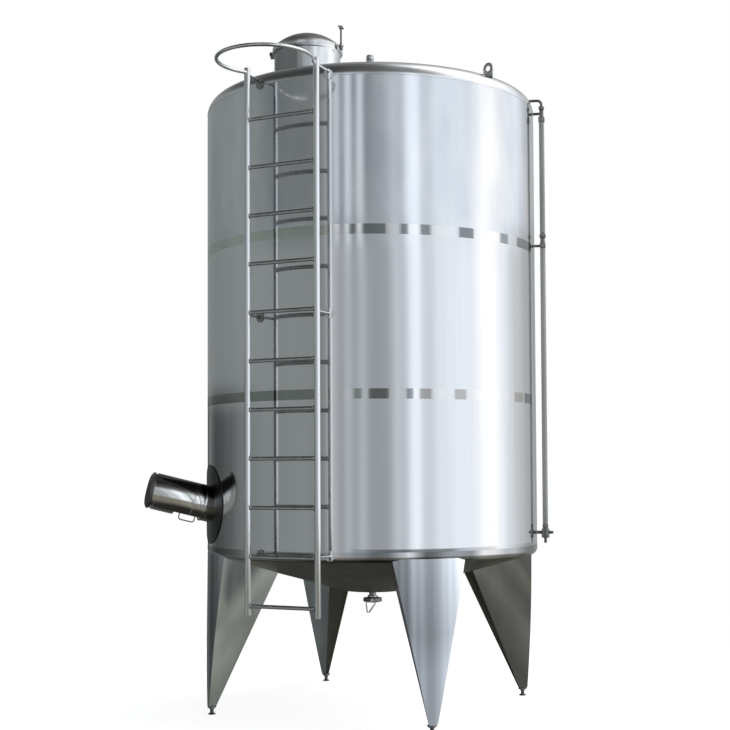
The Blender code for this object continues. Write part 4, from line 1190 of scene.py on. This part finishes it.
hinge = (-HINGE_REACH, HINGE_LEVEL)
arm_outline = arc(hinge, ARM_RADIUS, pi, 3 * pi / 2, steps=8)
arm_outline += [(-FLANGE_RADIUS, HINGE_LEVEL - ARM_RADIUS),
                (-RIM_RADIUS + LID_SHEET, LID_BASE + LID_EDGE / 4),
                (-RIM_RADIUS + LID_EDGE, LID_BASE + 2 * LID_EDGE), (-RIM_RADIUS, HINGE_LEVEL + ARM_RADIUS)]
arm_outline += arc(hinge, ARM_RADIUS, pi / 2, pi * 0.9, steps=8)
tab_low = LID_BASE + CLAMP_TAB_LIFT
tab_high = tab_low + CLAMP_TAB_THICKNESS
tab_start = RIM_RADIUS - LID_INSET
tab_outline = [(tab_start, tab_low), (CLAMP_TAB_END, tab_low), (CLAMP_TAB_END, tab_high),
               (tab_start, tab_high)]
lid = joined(lathe(lid_profile(), steps=120), slab(arm_outline, ARM_WIDTH),
             slab(tab_outline, CLAMP_TAB_WIDTH))
LID = steel("lid_sheet", (0.62, 0.62, 0.62), (0.84, 0.84, 0.84), roughness=0.20, spread=0.05,
            streak=(20.0, EVEN))
across(LID, UP * NECK_TOP, UP, LID_LEVELS)
dress("domed_lid", lid, LID, MANWAY, body="lid", stands_for=["manway_lid"],
      bevel=0.0008, sharp=38)

# %% The clamp screw with its bar
SCREW_RADIUS = 0.0065
SCREW_ROOT = 0.010
SCREW_KNOB = (0.0125, 0.024)
SCREW_COLLAR = (0.011, 0.010)
SCREW_LENGTH = 0.098
SCREW_PITCH = 0.002
SCREW_DEPTH = 0.0007
SCREW_HEAD = (0.012, 0.019)
SCREW_BAR_LENGTH = 0.064
SCREW_BAR_RADIUS = 0.006
collar_low = tab_high + FIT_GAP
thread_low = collar_low + SCREW_COLLAR[1]
head_low = thread_low + SCREW_LENGTH
bar_level = head_low + SCREW_HEAD[1] / 2
bar_ends = [(0, side * SCREW_BAR_LENGTH / 2, bar_level) for side in (-1, 1)]
screw = joined(stacked(tab_low - FIT_GAP - SCREW_KNOB[1], (SCREW_KNOB,), steps=32),
               stacked(tab_low, ((SCREW_RADIUS, SCREW_ROOT),), steps=32),
               hex_nut(SCREW_COLLAR[0], collar_low, thread_low),
               threaded(SCREW_RADIUS, thread_low, head_low, SCREW_PITCH, SCREW_DEPTH, 32),
               stacked(head_low, (SCREW_HEAD,), steps=32), sweep(bar_ends, SCREW_BAR_RADIUS, sides=20))
dress("clamp_screw", screw, CAST, MANWAY @ at(x=CLAMP_REACH), body="lid",
      stands_for=["manway_clamp_screw"], bevel=0.0008, sharp=40)

# %% [markdown]
# ## The inlet stub and the lifting lugs
# The stub in the middle of the roof ends in a screwed cap. The two lugs are cut from thick plate, with
# an eye for a shackle, and welded upright on the knuckle. Each plate is drawn longer than it is and
# cut back by the roof's own shape, so its foot follows the curve exactly.

# %% The inlet stub
INLET_PAD = (0.032, 0.005)
INLET_STUB = (0.019, 0.195)
INLET_CAP = (0.026, 0.034)
INLET_NUT = 0.014
CAP_ROUNDING = 0.006
pad_top = roof_outline(FIT_GAP)[-1][1]
cap_radius = INLET_CAP[0]
cap_low = pad_top + INLET_PAD[1] + INLET_STUB[1]
cap_high = cap_low + INLET_CAP[1]
cap_profile = [(0, cap_low), (cap_radius, cap_low), (cap_radius, cap_high - CAP_ROUNDING),
               (cap_radius - CAP_ROUNDING, cap_high), (0, cap_high)]
stub = joined(stacked(pad_top, (INLET_PAD, INLET_STUB)), lathe(cap_profile, steps=48),
              hex_nut(cap_radius, cap_low - INLET_NUT, cap_low))
dress("capped_inlet", stub, SATIN, ON_AXIS, stands_for=["roof_inlet_stub"], bevel=0.0008)

# %% The lifting lugs
LUG_BEARINGS = (45.6, 225.6)
LUG_REACH = 1.060
LUG_RADIUS = 0.038
LUG_HEIGHT = 4.171
LUG_SHEET = 0.008
LUG_EYE_RADIUS = 0.018
lug_root = LUG_HEIGHT - 3 * LUG_RADIUS
lug_outline = [(LUG_REACH - LUG_RADIUS, lug_root), (LUG_REACH + LUG_RADIUS, lug_root)]
lug_outline += arc((LUG_REACH, LUG_HEIGHT), LUG_RADIUS, 0, pi, steps=24)


def roof_tool():
    """The roof as a solid, a hair larger."""
    inside = WALL_TOP - 2 * ROOF_KNUCKLE
    body = [(0, inside), (TANK_RADIUS + FIT_GAP, inside)] + roof_outline(FIT_GAP)
    return as_object("roof_tool", lathe(body, ROUND_STEPS), SATIN)


for number, bearing in enumerate(LUG_BEARINGS, 1):
    lug = as_object(f"lug_{number}", slab(lug_outline, LUG_SHEET), SATIN)
    eye = moved(stacked(-LUG_RADIUS, ((LUG_EYE_RADIUS, 2 * LUG_RADIUS),), steps=40),
                at(LUG_REACH, 0, LUG_HEIGHT) @ LYING)
    combined(lug, as_object("eye", eye, SATIN))
    combined(lug, roof_tool())
    dress(f"lug_{number}", lug, SATIN, outward(bearing), stands_for=[f"lifting_lug_{number}"],
          bevel=0.0008, sharp=40)

# %% [markdown]
# ## The level gauge
# A clear tube stands beside the wall and shows how full the tank is. It is in two lengths, between an
# elbow with a union at the top, a union in the middle and a valve at the bottom. Short bars hold the
# fittings off the wall. True glass would be slow to render and would show an empty tube, so the finish
# is a glossy grey with a trace of milkiness, as the photograph shows it from afar.


# %% The sight tube's finish
def sight_tube_finish():
    finish, tree, sockets = principled("sight_tube_plastic")
    shade = ranged(tree, noise(tree, scale=7.0, stretch=(1.0, 1.0, 0.15)), 0.0, 1.0)
    tree.links.new(mixed(tree, shade, (0.42, 0.43, 0.42), (0.54, 0.55, 0.54)), sockets["Base Color"])
    tree.links.new(ranged(tree, noise(tree, scale=60.0), low=0.10, high=0.20), sockets["Roughness"])
    relief = bump(tree, noise(tree, scale=40.0), depth=0.00003)
    tree.links.new(relief.outputs[0], sockets["Normal"])
    sockets["IOR"].default_value = 1.49
    sockets["Coat Weight"].default_value = 0.4
    return finish


# %% The gauge's fittings
GAUGE_BEARING = 78.0
GAUGE = around(GAUGE_BEARING)
GAUGE_REACH = -1.185
GAUGE_PIPE = 0.009
ELBOW_HEIGHT = 4.098
ELBOW_RADIUS = 0.030
ELBOW_START = -1.04
TOP_UNION_LOW = 3.948
TOP_UNION = ((0.024, 0.038), (0.014, 0.048), (0.021, 0.022))
TOP_BAR = 4.008
MIDDLE_UNION_LOW = 3.090
MIDDLE_UNION = ((0.022, 0.038), (0.016, 0.034), (0.024, 0.026), (0.016, 0.0077))
MIDDLE_BAR = 3.108
BOTTOM_VALVE_LOW = 1.110
BOTTOM_VALVE = ((0.010, 0.034), (0.026, 0.060), (0.018, 0.008), (0.022, 0.020), (0.018, 0.0037))
VALVE_BAR = 1.180
VALVE_PIPE = 0.011
VALVE_PIPE_END = 0.036
hub_seat = GAUGE_REACH - VALVE_PIPE_END
wall_face = -TANK_RADIUS - 4 * FIT_GAP


def level_bar(height, end, radius):
    """A bar from the wall out to a fitting."""
    return sweep([(0, wall_face, height), (0, end, height)], radius, sides=20)


def union(low, sections, nuts):
    """A stack of round sections in which some are hexagon nuts, named by their place in the stack."""
    parts = []
    level = low
    for index, (radius, length) in enumerate(sections):
        if index in nuts:
            parts.append(hex_nut(radius, level, level + length))
        else:
            parts.append(stacked(level, ((radius, length),), steps=32))
        level += length
    return moved(joined(*parts), at(y=GAUGE_REACH)), level


def gauge_fitting(name, node_name, *shapes):
    return dress(name, joined(*shapes), CAST, GAUGE, stands_for=[node_name],
                 bevel=0.0006, sharp=40)


corner = arc((GAUGE_REACH + ELBOW_RADIUS, ELBOW_HEIGHT - ELBOW_RADIUS), ELBOW_RADIUS, pi / 2, pi, steps=12)
elbow_route = [(0, ELBOW_START, ELBOW_HEIGHT)] + [(0, y, z) for y, z in corner] + [(0, GAUGE_REACH, TOP_BAR)]
gauge_fitting("gauge_top_union", "gauge_top_fitting", sweep(elbow_route, GAUGE_PIPE, sides=20),
              union(TOP_UNION_LOW, TOP_UNION, (0, 2))[0], level_bar(TOP_BAR, GAUGE_REACH, GAUGE_PIPE))
middle_stack, middle_high = union(MIDDLE_UNION_LOW, MIDDLE_UNION, (0, 2))
gauge_fitting("gauge_middle_union", "gauge_middle_fitting", middle_stack,
              level_bar(MIDDLE_BAR, GAUGE_REACH, GAUGE_PIPE))
valve_stack, valve_high = union(BOTTOM_VALVE_LOW, BOTTOM_VALVE, (3,))
gauge_fitting("gauge_valve", "gauge_bottom_valve", valve_stack, level_bar(VALVE_BAR, hub_seat, VALVE_PIPE))

# %% The two sight tubes
GAUGE_TUBE = 0.018
CLEAR_TUBE = sight_tube_finish()
for label, low, high in (("upper", middle_high, TOP_UNION_LOW), ("lower", valve_high, MIDDLE_UNION_LOW)):
    tube = stacked(low + FIT_GAP, ((GAUGE_TUBE, high - low - 2 * FIT_GAP),), steps=32)
    dress(f"sight_tube_{label}", moved(tube, at(y=GAUGE_REACH)), CLEAR_TUBE, GAUGE,
          stands_for=[f"gauge_tube_{label}"], bevel=0.0005)

# %% The gauge valve's handle
HANDLE_HUB = (0.009, 0.016)
WING_HALF = 0.032
WING_WIDTH = 0.007
WING_EDGE = 0.001
HANDLE = GAUGE @ at(0, hub_seat - FIT_GAP, VALVE_BAR) @ LYING
hub_length = HANDLE_HUB[1]
wing_low = hub_length / 2
wing_high = hub_length - 2 * WING_EDGE
wing = lathe([(0, wing_low), (WING_WIDTH, wing_low), (WING_WIDTH, wing_high - WING_EDGE),
              (WING_WIDTH - WING_EDGE, wing_high), (0, wing_high)], steps=32)
bmesh.ops.scale(wing, vec=(WING_HALF / WING_WIDTH, 1.0, 1.0), verts=wing.verts)
dress("gauge_wing_handle", joined(stacked(0, (HANDLE_HUB,), steps=32), wing), CAST, HANDLE,
      body="gauge_handle", stands_for=["gauge_valve_handle"], bevel=0.0006, sharp=40)

# %% [markdown]
# ## The drive on the side
# A geared motor under a polished shroud turns the stirrer through a short nozzle. It leans down
# towards the tank, and a round pad of sheet spreads its load on the wall. The pad could be a disc bent
# with a modifier. Wrapping flat rings round the radius gives the same curve exactly, with clean faces.

# %% The pad
DRIVE_BEARING = -72.5
DRIVE_HEIGHT = 1.380
DRIVE_TILT = 14.0
PAD_REACH = 0.262
PAD_SHEET = 0.006
PAD_OUTER = TANK_RADIUS + FIT_GAP + PAD_SHEET
PAD_RINGS = 14
PAD_STEPS = 72
DRIVE = (around(DRIVE_BEARING, PAD_OUTER + FIT_GAP, DRIVE_HEIGHT)
         @ Matrix.Rotation(pi / 2 - radians(DRIVE_TILT), 4, "X"))
# The pad's near-black colour is painted reflection of the dark surroundings it mirrors.
PAD = steel("drive_pad_painted_reflection", (0.06, 0.06, 0.06), (0.11, 0.11, 0.11), roughness=0.30, spread=0.05,
            streak=(16.0, (1.0, 1.0, 0.2)))


def pad_shape():
    """A disc of sheet bent to the wall, made by wrapping flat rings round the radius."""
    shape = bmesh.new()
    rims = []
    for radius in (PAD_OUTER, TANK_RADIUS + FIT_GAP):
        loop = [shape.verts.new((0, -radius, DRIVE_HEIGHT))] * PAD_STEPS
        for ring in range(1, PAD_RINGS + 1):
            inner = loop
            spread = PAD_REACH * ring / PAD_RINGS
            loop = []
            for turn in full_turn(PAD_STEPS):
                angle = spread * cos(turn) / TANK_RADIUS
                loop.append(shape.verts.new((radius * sin(angle), -radius * cos(angle),
                                             DRIVE_HEIGHT + spread * sin(turn))))
            bridged(shape, inner, loop)
        rims.append(loop)
    bridged(shape, *rims)
    return shape


dress("drive_pad", pad_shape(), PAD, around(DRIVE_BEARING), stands_for=["agitator_pad"],
      sharp=40)

# %% The nozzle, cut to the wall
NOZZLE_RADIUS = 0.118
NOZZLE_LENGTH = 0.052
NOZZLE_FLANGE = (0.121, 0.014)
WALL_TOOL_HALF = 0.4
# Painted reflection: the shroud and nozzle are darkened along their top, as they mirror the dark overhead.
SHROUD_TOP_PAINTED_REFLECTION = ((-0.12, 1.0), (0.020, 1.0), (0.042, 0.45), (0.056, 0.10), (0.100, 0.06), (0.12, 0.20))
SHROUD = steel("shroud_sheet", (0.84, 0.84, 0.82), (0.92, 0.92, 0.90), roughness=0.12, spread=0.03,
               streak=(8.0, (1.0, 1.0, 0.3)), grain=(120.0, EVEN), wave=(4.0, 0.00005))
drive_axis = DRIVE.to_3x3() @ UP
across(SHROUD, DRIVE.translation, (UP - drive_axis * drive_axis.z).normalized(), SHROUD_TOP_PAINTED_REFLECTION)
nozzle_body = (NOZZLE_RADIUS, 2 * NOZZLE_LENGTH - NOZZLE_FLANGE[1])
nozzle = stacked(-NOZZLE_LENGTH, (nozzle_body, NOZZLE_FLANGE), steps=96)
nozzle = as_object("drive_nozzle", moved(nozzle, DRIVE), SHROUD)
wall = stacked(DRIVE_HEIGHT - WALL_TOOL_HALF, ((PAD_OUTER + FIT_GAP, 2 * WALL_TOOL_HALF),), steps=360)
combined(nozzle, as_object("wall_tool", moved(wall, ON_AXIS), SHROUD))
dress("drive_nozzle", nozzle, SHROUD, stands_for=["agitator_nozzle"], bevel=0.0008, sharp=38)

# %% The motor's shroud
MOTOR_RADIUS = 0.120
MOTOR_LENGTH = 0.343
MOTOR_STEP = 0.006
MOTOR_LIP = 0.020
MOTOR_RECESS_LENGTH = 0.178
MOTOR_RECESS_DEPTH = 0.017
SEAM_FROM_START = 0.073
GROOVE = 0.0015
motor_start = NOZZLE_LENGTH + FIT_GAP
motor_end = motor_start + MOTOR_LENGTH
seam_level = motor_start + SEAM_FROM_START
waist = MOTOR_RADIUS - MOTOR_STEP
shroud_profile = [(0, motor_start), (MOTOR_RADIUS, motor_start), (MOTOR_RADIUS, seam_level - GROOVE),
                  (MOTOR_RADIUS - GROOVE, seam_level), (MOTOR_RADIUS, seam_level + GROOVE),
                  (MOTOR_RADIUS, motor_end - MOTOR_LIP), (waist, motor_end - MOTOR_LIP), (waist, motor_end),
                  (0, motor_end)]
shroud = as_object("motor_shroud", lathe(shroud_profile, steps=120), SHROUD)
recess_level = -MOTOR_RADIUS + MOTOR_RECESS_DEPTH
recess_outline = [(x * MOTOR_RADIUS, motor_start + z * MOTOR_RECESS_LENGTH)
                  for x, z in ((-1, -1), (1, -1), (1, 1), (-1, 1))]
recess = moved(slab(recess_outline, 2 * MOTOR_RADIUS), at(y=recess_level - MOTOR_RADIUS))
combined(shroud, as_object("recess", recess, SHROUD))
dress("motor_shroud", shroud, SHROUD, DRIVE, stands_for=["agitator_motor_shroud"],
      bevel=0.0008, sharp=38)

# %% [markdown]
# ## The fan cover's ribs
# The cover's end is a grille of round ribs. They could be cut as slots into the disc, but thin rings laid on
# it read the same. A tree joins rings of growing radius; the spacing and width are inputs, and the count is
# fixed when the tree is built.

# %% The fan cover
COVER_THICKNESS = 0.020
COVER_CHAMFER = 0.010
COVER_SINK = 0.003
cover_low = motor_end + FIT_GAP
cover_high = cover_low + COVER_THICKNESS
rib_room = MOTOR_RADIUS - COVER_CHAMFER
cover_profile = [(0, cover_low), (MOTOR_RADIUS, cover_low), (MOTOR_RADIUS, cover_high - COVER_CHAMFER),
                 (rib_room, cover_high - COVER_SINK), (0, cover_high - COVER_SINK)]
dress("fan_cover", lathe(cover_profile, steps=96), CAST, DRIVE,
      stands_for=["agitator_fan_cover"], bevel=0.0006, sharp=38)

# %% The ribs
RIB_COUNT = 7
RIB_WIDTH = 0.004
RIB_STEPS = 72


def rib_tree():
    tree, sizes, end = new_tree("Fan cover ribs", Spacing=0.014, Width=0.004, Level=0.4)
    ribs = node(tree, "GeometryNodeJoinGeometry")
    for number in range(1, RIB_COUNT + 1):
        radius = maths(tree, "MULTIPLY", sizes["Spacing"], float(number))
        section = rectangle(tree, sizes["Width"], sizes["Width"])
        rib = node(tree, "GeometryNodeCurveToMesh", {"Curve": circle(tree, RIB_STEPS, radius),
                                                     "Profile Curve": section})
        tree.links.new(rib.outputs[0], ribs.inputs[0])
    rise = node(tree, "ShaderNodeCombineXYZ", {"Z": sizes["Level"]})
    raised = node(tree, "GeometryNodeTransform", {"Geometry": ribs, "Translation": rise})
    tree.links.new(raised.outputs[0], end)
    return tree


ribs = grow("fan_cover_ribs", rib_tree(), CAST, Spacing=rib_room / (RIB_COUNT + 0.5), Width=RIB_WIDTH,
            Level=cover_high - RIB_WIDTH / 2)
ribs.data.transform(DRIVE)
smoothed(ribs, sharp=35)
hand_over(ribs, "tank")

# %% [markdown]
# ## The loop under the drive
# A bent wire under the shroud gives a hand or a hook something to hold. A wire bender leaves round
# corners. Each could be drawn as an arc by hand, but a function that bends the corners of a path of
# straight runs works for any wire.

# %% The loop under the drive
CORNER_SHARE = 0.45
CORNER_STEPS = 6
LOOP_BAR = 0.004
LOOP_START = 0.024
LOOP_END = 0.128
LOOP_SHOULDER = 0.013
LOOP_DROP = 0.022
LOOP_CORNER = 0.006


def rounded(points, radius):
    """A path with its inner corners bent to a radius, as a wire bender would leave them."""
    points = [Vector(point) for point in points]
    path = [points[0]]
    for before, corner, after in zip(points, points[1:], points[2:]):
        back = before - corner
        ahead = after - corner
        reach = min(radius / tan(back.angle(ahead) / 2), CORNER_SHARE * min(back.length, ahead.length))
        start = corner + back.normalized() * reach
        end = corner + ahead.normalized() * reach
        for step in range(CORNER_STEPS + 1):
            share = step / CORNER_STEPS
            path.append(start.lerp(corner, share).lerp(corner.lerp(end, share), share))
    return path + [points[-1]]


root = recess_level - FIT_GAP
shoulder = -MOTOR_RADIUS - LOOP_SHOULDER
drop = -MOTOR_RADIUS - LOOP_DROP
first = motor_start + LOOP_START
last = motor_start + LOOP_END
loop_route = [(0, root, first), (0, shoulder, first), (0, drop, first + 2 * LOOP_CORNER),
              (0, drop, last - 2 * LOOP_CORNER), (0, shoulder, last), (0, root, last)]
loop = sweep(rounded(loop_route, LOOP_CORNER), LOOP_BAR, sides=16)
dress("lifting_loop", loop, CAST, DRIVE, stands_for=["agitator_lifting_loop"], sharp=50)

# %% [markdown]
# ## The drain
# Under the lowest point of the cone hangs a short neck, a flat valve body and a wire lever that is
# swung to open it. All three are turned or swept. The lever is built round its own pivot and then
# moved out to the boss of the valve, because its sizes are easier to read from there.

# %% The drain's neck and valve
DRAIN_PIPE = 0.0245
DRAIN_NECK_LENGTH = 0.046
FERRULE_RADIUS = 0.034
FERRULE_THICKNESS = 0.011
FERRULE_SLOPE = 0.003
VALVE_RADIUS = 0.064
VALVE_FACE_RADIUS = 0.040
VALVE_HEIGHT = 0.036
VALVE_CHAMFER = 0.006
VALVE_OUTLET_DEPTH = 0.014
BOSS_RADIUS = 0.012
BOSS_REACH = 0.078
neck_top = floor_outline(FIT_GAP)[-1][1]
neck_low = neck_top - DRAIN_NECK_LENGTH
ferrule_high = neck_low + FERRULE_THICKNESS
neck_profile = [(DRAIN_BORE, neck_top), (DRAIN_PIPE, neck_top), (DRAIN_PIPE, ferrule_high + FERRULE_SLOPE),
                (FERRULE_RADIUS, ferrule_high), (FERRULE_RADIUS, neck_low), (DRAIN_BORE, neck_low)]
dress("drain_stub", lathe(neck_profile, steps=64), SATIN, ON_AXIS, stands_for=["drain_neck"],
      bevel=0.0006)
valve_top = neck_low - FIT_GAP
valve_low = valve_top - VALVE_HEIGHT
valve_middle = (valve_top + valve_low) / 2
outlet_end = valve_low + VALVE_OUTLET_DEPTH
valve_profile = [(0, valve_top), (VALVE_FACE_RADIUS, valve_top), (VALVE_RADIUS, valve_top - VALVE_CHAMFER),
                 (VALVE_RADIUS, valve_low + VALVE_CHAMFER), (VALVE_FACE_RADIUS, valve_low),
                 (DRAIN_BORE, valve_low), (DRAIN_BORE, outlet_end), (0, outlet_end)]
boss = sweep([(0, -VALVE_FACE_RADIUS, valve_middle), (0, -BOSS_REACH, valve_middle)], BOSS_RADIUS, sides=28)
dress("butterfly_valve", joined(lathe(valve_profile, steps=72), boss), CAST, ON_AXIS,
      stands_for=["drain_valve"], bevel=0.0008, sharp=38)

# %% The drain's wire lever
LEVER_HUB = (0.015, 0.010)
LEVER_BAR = 0.005
LEVER_LEFT = -0.044
LEVER_RIGHT = 0.018
LEVER_SHOULDER = 0.014
LEVER_TIP = -0.030
LEVER_DROP = 0.079
LEVER_CORNER = 0.006
LEVER = at(*(AXIS + Vector((0, -BOSS_REACH - FIT_GAP, valve_middle))))
high = -LEVER_SHOULDER + LEVER_CORNER
low = -LEVER_SHOULDER - LEVER_CORNER
corners = [(LEVER_RIGHT - LEVER_CORNER, high), (LEVER_RIGHT, low), (LEVER_TIP + LEVER_CORNER, -LEVER_DROP),
           (LEVER_TIP - LEVER_CORNER, -LEVER_DROP), (LEVER_LEFT, low), (LEVER_LEFT + LEVER_CORNER, high)]
wire = sweep([(x, -LEVER_HUB[1] / 2, z) for x, z in corners], LEVER_BAR, sides=14, closed=True)
hub = moved(stacked(0, (LEVER_HUB,), steps=40), LYING)
dress("wire_lever", joined(hub, wire), SATIN, LEVER, body="drain_handle",
      stands_for=["drain_lever"], bevel=0.0005, sharp=50)

# %% [markdown]
# ## Studio light
# Polished steel has no colour of its own: it shows what stands around it. Lamps would only leave
# glints, so the studio is a ring of soft panels and dark flats, written down as bearings round the
# tank with a brightness each. The panels are broad on the right and narrow on the left, where the
# photograph has bright stripes. Higher up, the ring has panels of its own for the roof, with a sky
# over them and a ground under them. The camera itself sees plain white.

# %% The ring of panels
TINTS = {"olive": (0.93, 1.01, 1.00), "moss": (0.96, 1.0, 0.86), "brown": (1.07, 1.0, 0.85),
         "grey": (0.98, 1.0, 1.02), "blue": (0.94, 1.0, 1.07), "white": WHITE}
STUDIO = (
    (-180, 0.30, "olive"), (-150, 0.26, "olive"), (-128, 0.25, "olive"), (-100, 0.30, "olive"),
    (-43, 0.29, "olive"), (-33, 0.25, "grey"), (-30, 0.36, "grey"), (-28, 0.72, "grey"), (-25, 0.52, "grey"),
    (-20, 0.37, "blue"), (-16, 0.56, "blue"), (-11, 0.39, "blue"), (-6, 0.58, "blue"), (-2, 0.41, "blue"),
    (3, 0.38, "blue"), (11, 0.42, "blue"), (17, 0.69, "blue"), (20, 0.60, "blue"), (23, 0.66, "blue"),
    (26, 1.00, "blue"), (29, 1.15, "blue"), (32, 1.10, "blue"), (35, 0.82, "blue"), (40, 0.77, "blue"),
    (46, 0.97, "blue"), (70, 1.04, "blue"), (82, 1.26, "white"), (93, 1.26, "white"), (105, 0.96, "blue"),
    (118, 0.68, "grey"), (135, 0.48, "grey"), (180, 0.30, "olive"))
LOW_LEFT = (
    (-180, 0.05, "olive"), (-162, 0.10, "olive"), (-153, 0.20, "olive"), (-144, 0.11, "olive"),
    (-137, 0.07, "olive"), (-125, 0.09, "olive"), (-112, 0.13, "olive"), (-105, 0.18, "olive"),
    (-95, 0.22, "olive"), (-80, 0.27, "olive"), (-43, 0.29, "olive"))
HIGH_STUDIO = (
    (-180, 0.34, "olive"), (-137, 0.27, "olive"), (-105, 0.31, "olive"), (-78, 0.25, "olive"),
    (-65, 0.21, "olive"), (-43, 0.21, "olive"), (-34, 0.23, "grey"), (-30, 0.42, "grey"), (-27, 0.30, "blue"),
    (-23, 0.86, "blue"), (-19.2, 0.19, "blue"), (-15.3, 1.00, "blue"), (-11.3, 0.21, "blue"),
    (-7.3, 0.96, "blue"), (-3.6, 0.28, "blue"), (2, 0.39, "blue"), (8, 0.46, "blue"), (15, 0.68, "blue"),
    (19, 0.59, "blue"), (22, 0.68, "blue"), (24, 1.02, "blue"), (27, 1.16, "blue"), (32, 1.16, "blue"),
    (34, 0.80, "blue"), (39, 0.80, "blue"), (45, 0.97, "blue"), (70, 0.95, "blue"), (84, 1.26, "white"),
    (98, 1.12, "white"), (121, 1.00, "blue"), (138, 0.62, "grey"), (180, 0.34, "olive"))
GROUND = (
    (-180, 0.06, "olive"), (-110, 0.20, "olive"), (-60, 0.30, "olive"), (-25, 0.22, "brown"),
    (10, 0.19, "brown"), (45, 0.31, "moss"), (75, 0.39, "moss"), (110, 0.28, "moss"), (180, 0.06, "olive"))
SKY = (
    (-180, 0.30, "grey"), (-150, 0.12, "grey"), (-90, 0.055, "grey"), (-40, 0.05, "grey"),
    (-20, 0.08, "grey"), (0, 0.11, "grey"), (14, 0.14, "grey"), (28, 0.24, "grey"), (48, 0.34, "white"),
    (60, 0.95, "white"), (75, 1.50, "white"), (110, 1.60, "white"), (150, 0.60, "grey"),
    (180, 0.30, "grey"))
print(len(STUDIO), "panel edges round the tank, and", len(HIGH_STUDIO), "higher up")

# %% Where one panel fades into the next
LOW_LEFT_END = (-46.0, -43.0)
LOW_LEFT_TOP = (2.5, 3.8)
HIGH_FROM = (9.5, 10.5)
GROUND_TO = (-22.0, -14.0)
FEET_TO = (-65.0, -40.0)
SKY_FROM = (24.0, 36.0)
ZENITH_FROM = (70.0, 88.0)
UNDER_THE_FEET = (0.025, 0.023, 0.02)
ZENITH = (0.14, 0.14, 0.13)


def build_world():
    world = bpy.data.worlds.new("studio")
    bpy.context.scene.world = world
    world.use_nodes = True
    tree = world.node_tree
    way = node(tree, "ShaderNodeTexCoord")
    parts = node(tree, "ShaderNodeSeparateXYZ", {0: way.outputs["Generated"]}).outputs
    bearing = bearing_of(tree, parts)
    elevation = maths(tree, "DEGREES", maths(tree, "ARCSINE", parts["Z"]))

    def panels(stops):
        tinted = [(place, [level * part for part in TINTS[tint]]) for place, level, tint in stops]
        return ramp(tree, bearing, -HALF_TURN, HALF_TURN, tinted)

    def faded(quantity, span, below, above):
        return mixed(tree, ranged(tree, quantity, 0.0, 1.0, *span), below, above)

    middle = panels(STUDIO)
    low = faded(bearing, LOW_LEFT_END, panels(LOW_LEFT), middle)
    ring = faded(elevation, LOW_LEFT_TOP, low, middle)
    ring = faded(elevation, HIGH_FROM, ring, panels(HIGH_STUDIO))
    light = faded(elevation, GROUND_TO, panels(GROUND), ring)
    light = faded(elevation, FEET_TO, UNDER_THE_FEET, light)
    light = faded(elevation, SKY_FROM, light, panels(SKY))
    light = faded(elevation, ZENITH_FROM, light, ZENITH)
    eye = node(tree, "ShaderNodeLightPath")
    shown = mixed(tree, eye.outputs["Is Camera Ray"], light, WHITE)
    tree.links.new(shown, tree.nodes["Background"].inputs["Color"])


build_world()

# %% [markdown]
# ## The floor
# A pale disc under the feet catches the soft shadow and fades into the white of the backdrop, so no
# horizon line crosses the picture. A large plane would need a curved backdrop for that. The floor
# isn't mirrored in the steel: the ring of panels stands for it.

# %% The floor
FLOOR_CLEAR = 2.6
FLOOR_END = 5.5
FLOOR_TOP = -0.001
FLOOR_THICKNESS = 0.003
FLOOR_GREY = (0.82, 0.82, 0.82, 1.0)
FLOOR_GLOW = 0.80


def floor_finish():
    finish, tree, sockets = principled("pale_floor")
    place = node(tree, "ShaderNodeTexCoord")
    distance = vectors(tree, "LENGTH", place.outputs["Object"], result="Value")
    sockets["Base Color"].default_value = FLOOR_GREY
    sockets["Roughness"].default_value = 0.8
    sockets["Emission Color"].default_value = (*WHITE, 1.0)
    sockets["Emission Strength"].default_value = FLOOR_GLOW
    tree.links.new(ranged(tree, distance, 1.0, 0.0, FLOOR_CLEAR, FLOOR_END), sockets["Alpha"])
    return finish


disc = stacked(FLOOR_TOP - FLOOR_THICKNESS, ((FLOOR_END, FLOOR_THICKNESS),), steps=96)
floor = as_object("studio_floor", disc, floor_finish())
floor.visible_glossy = False
floor.visible_diffuse = False

# %% [markdown]
# ## The count of pieces
# The last cell counts the pieces of the finished skin and their faces. The finished skin has to stay
# inside the box of the solids.

# %% Count the pieces
print(len(PIECES), "pieces,", sum(len(piece.data.polygons) for piece in PIECES), "faces")
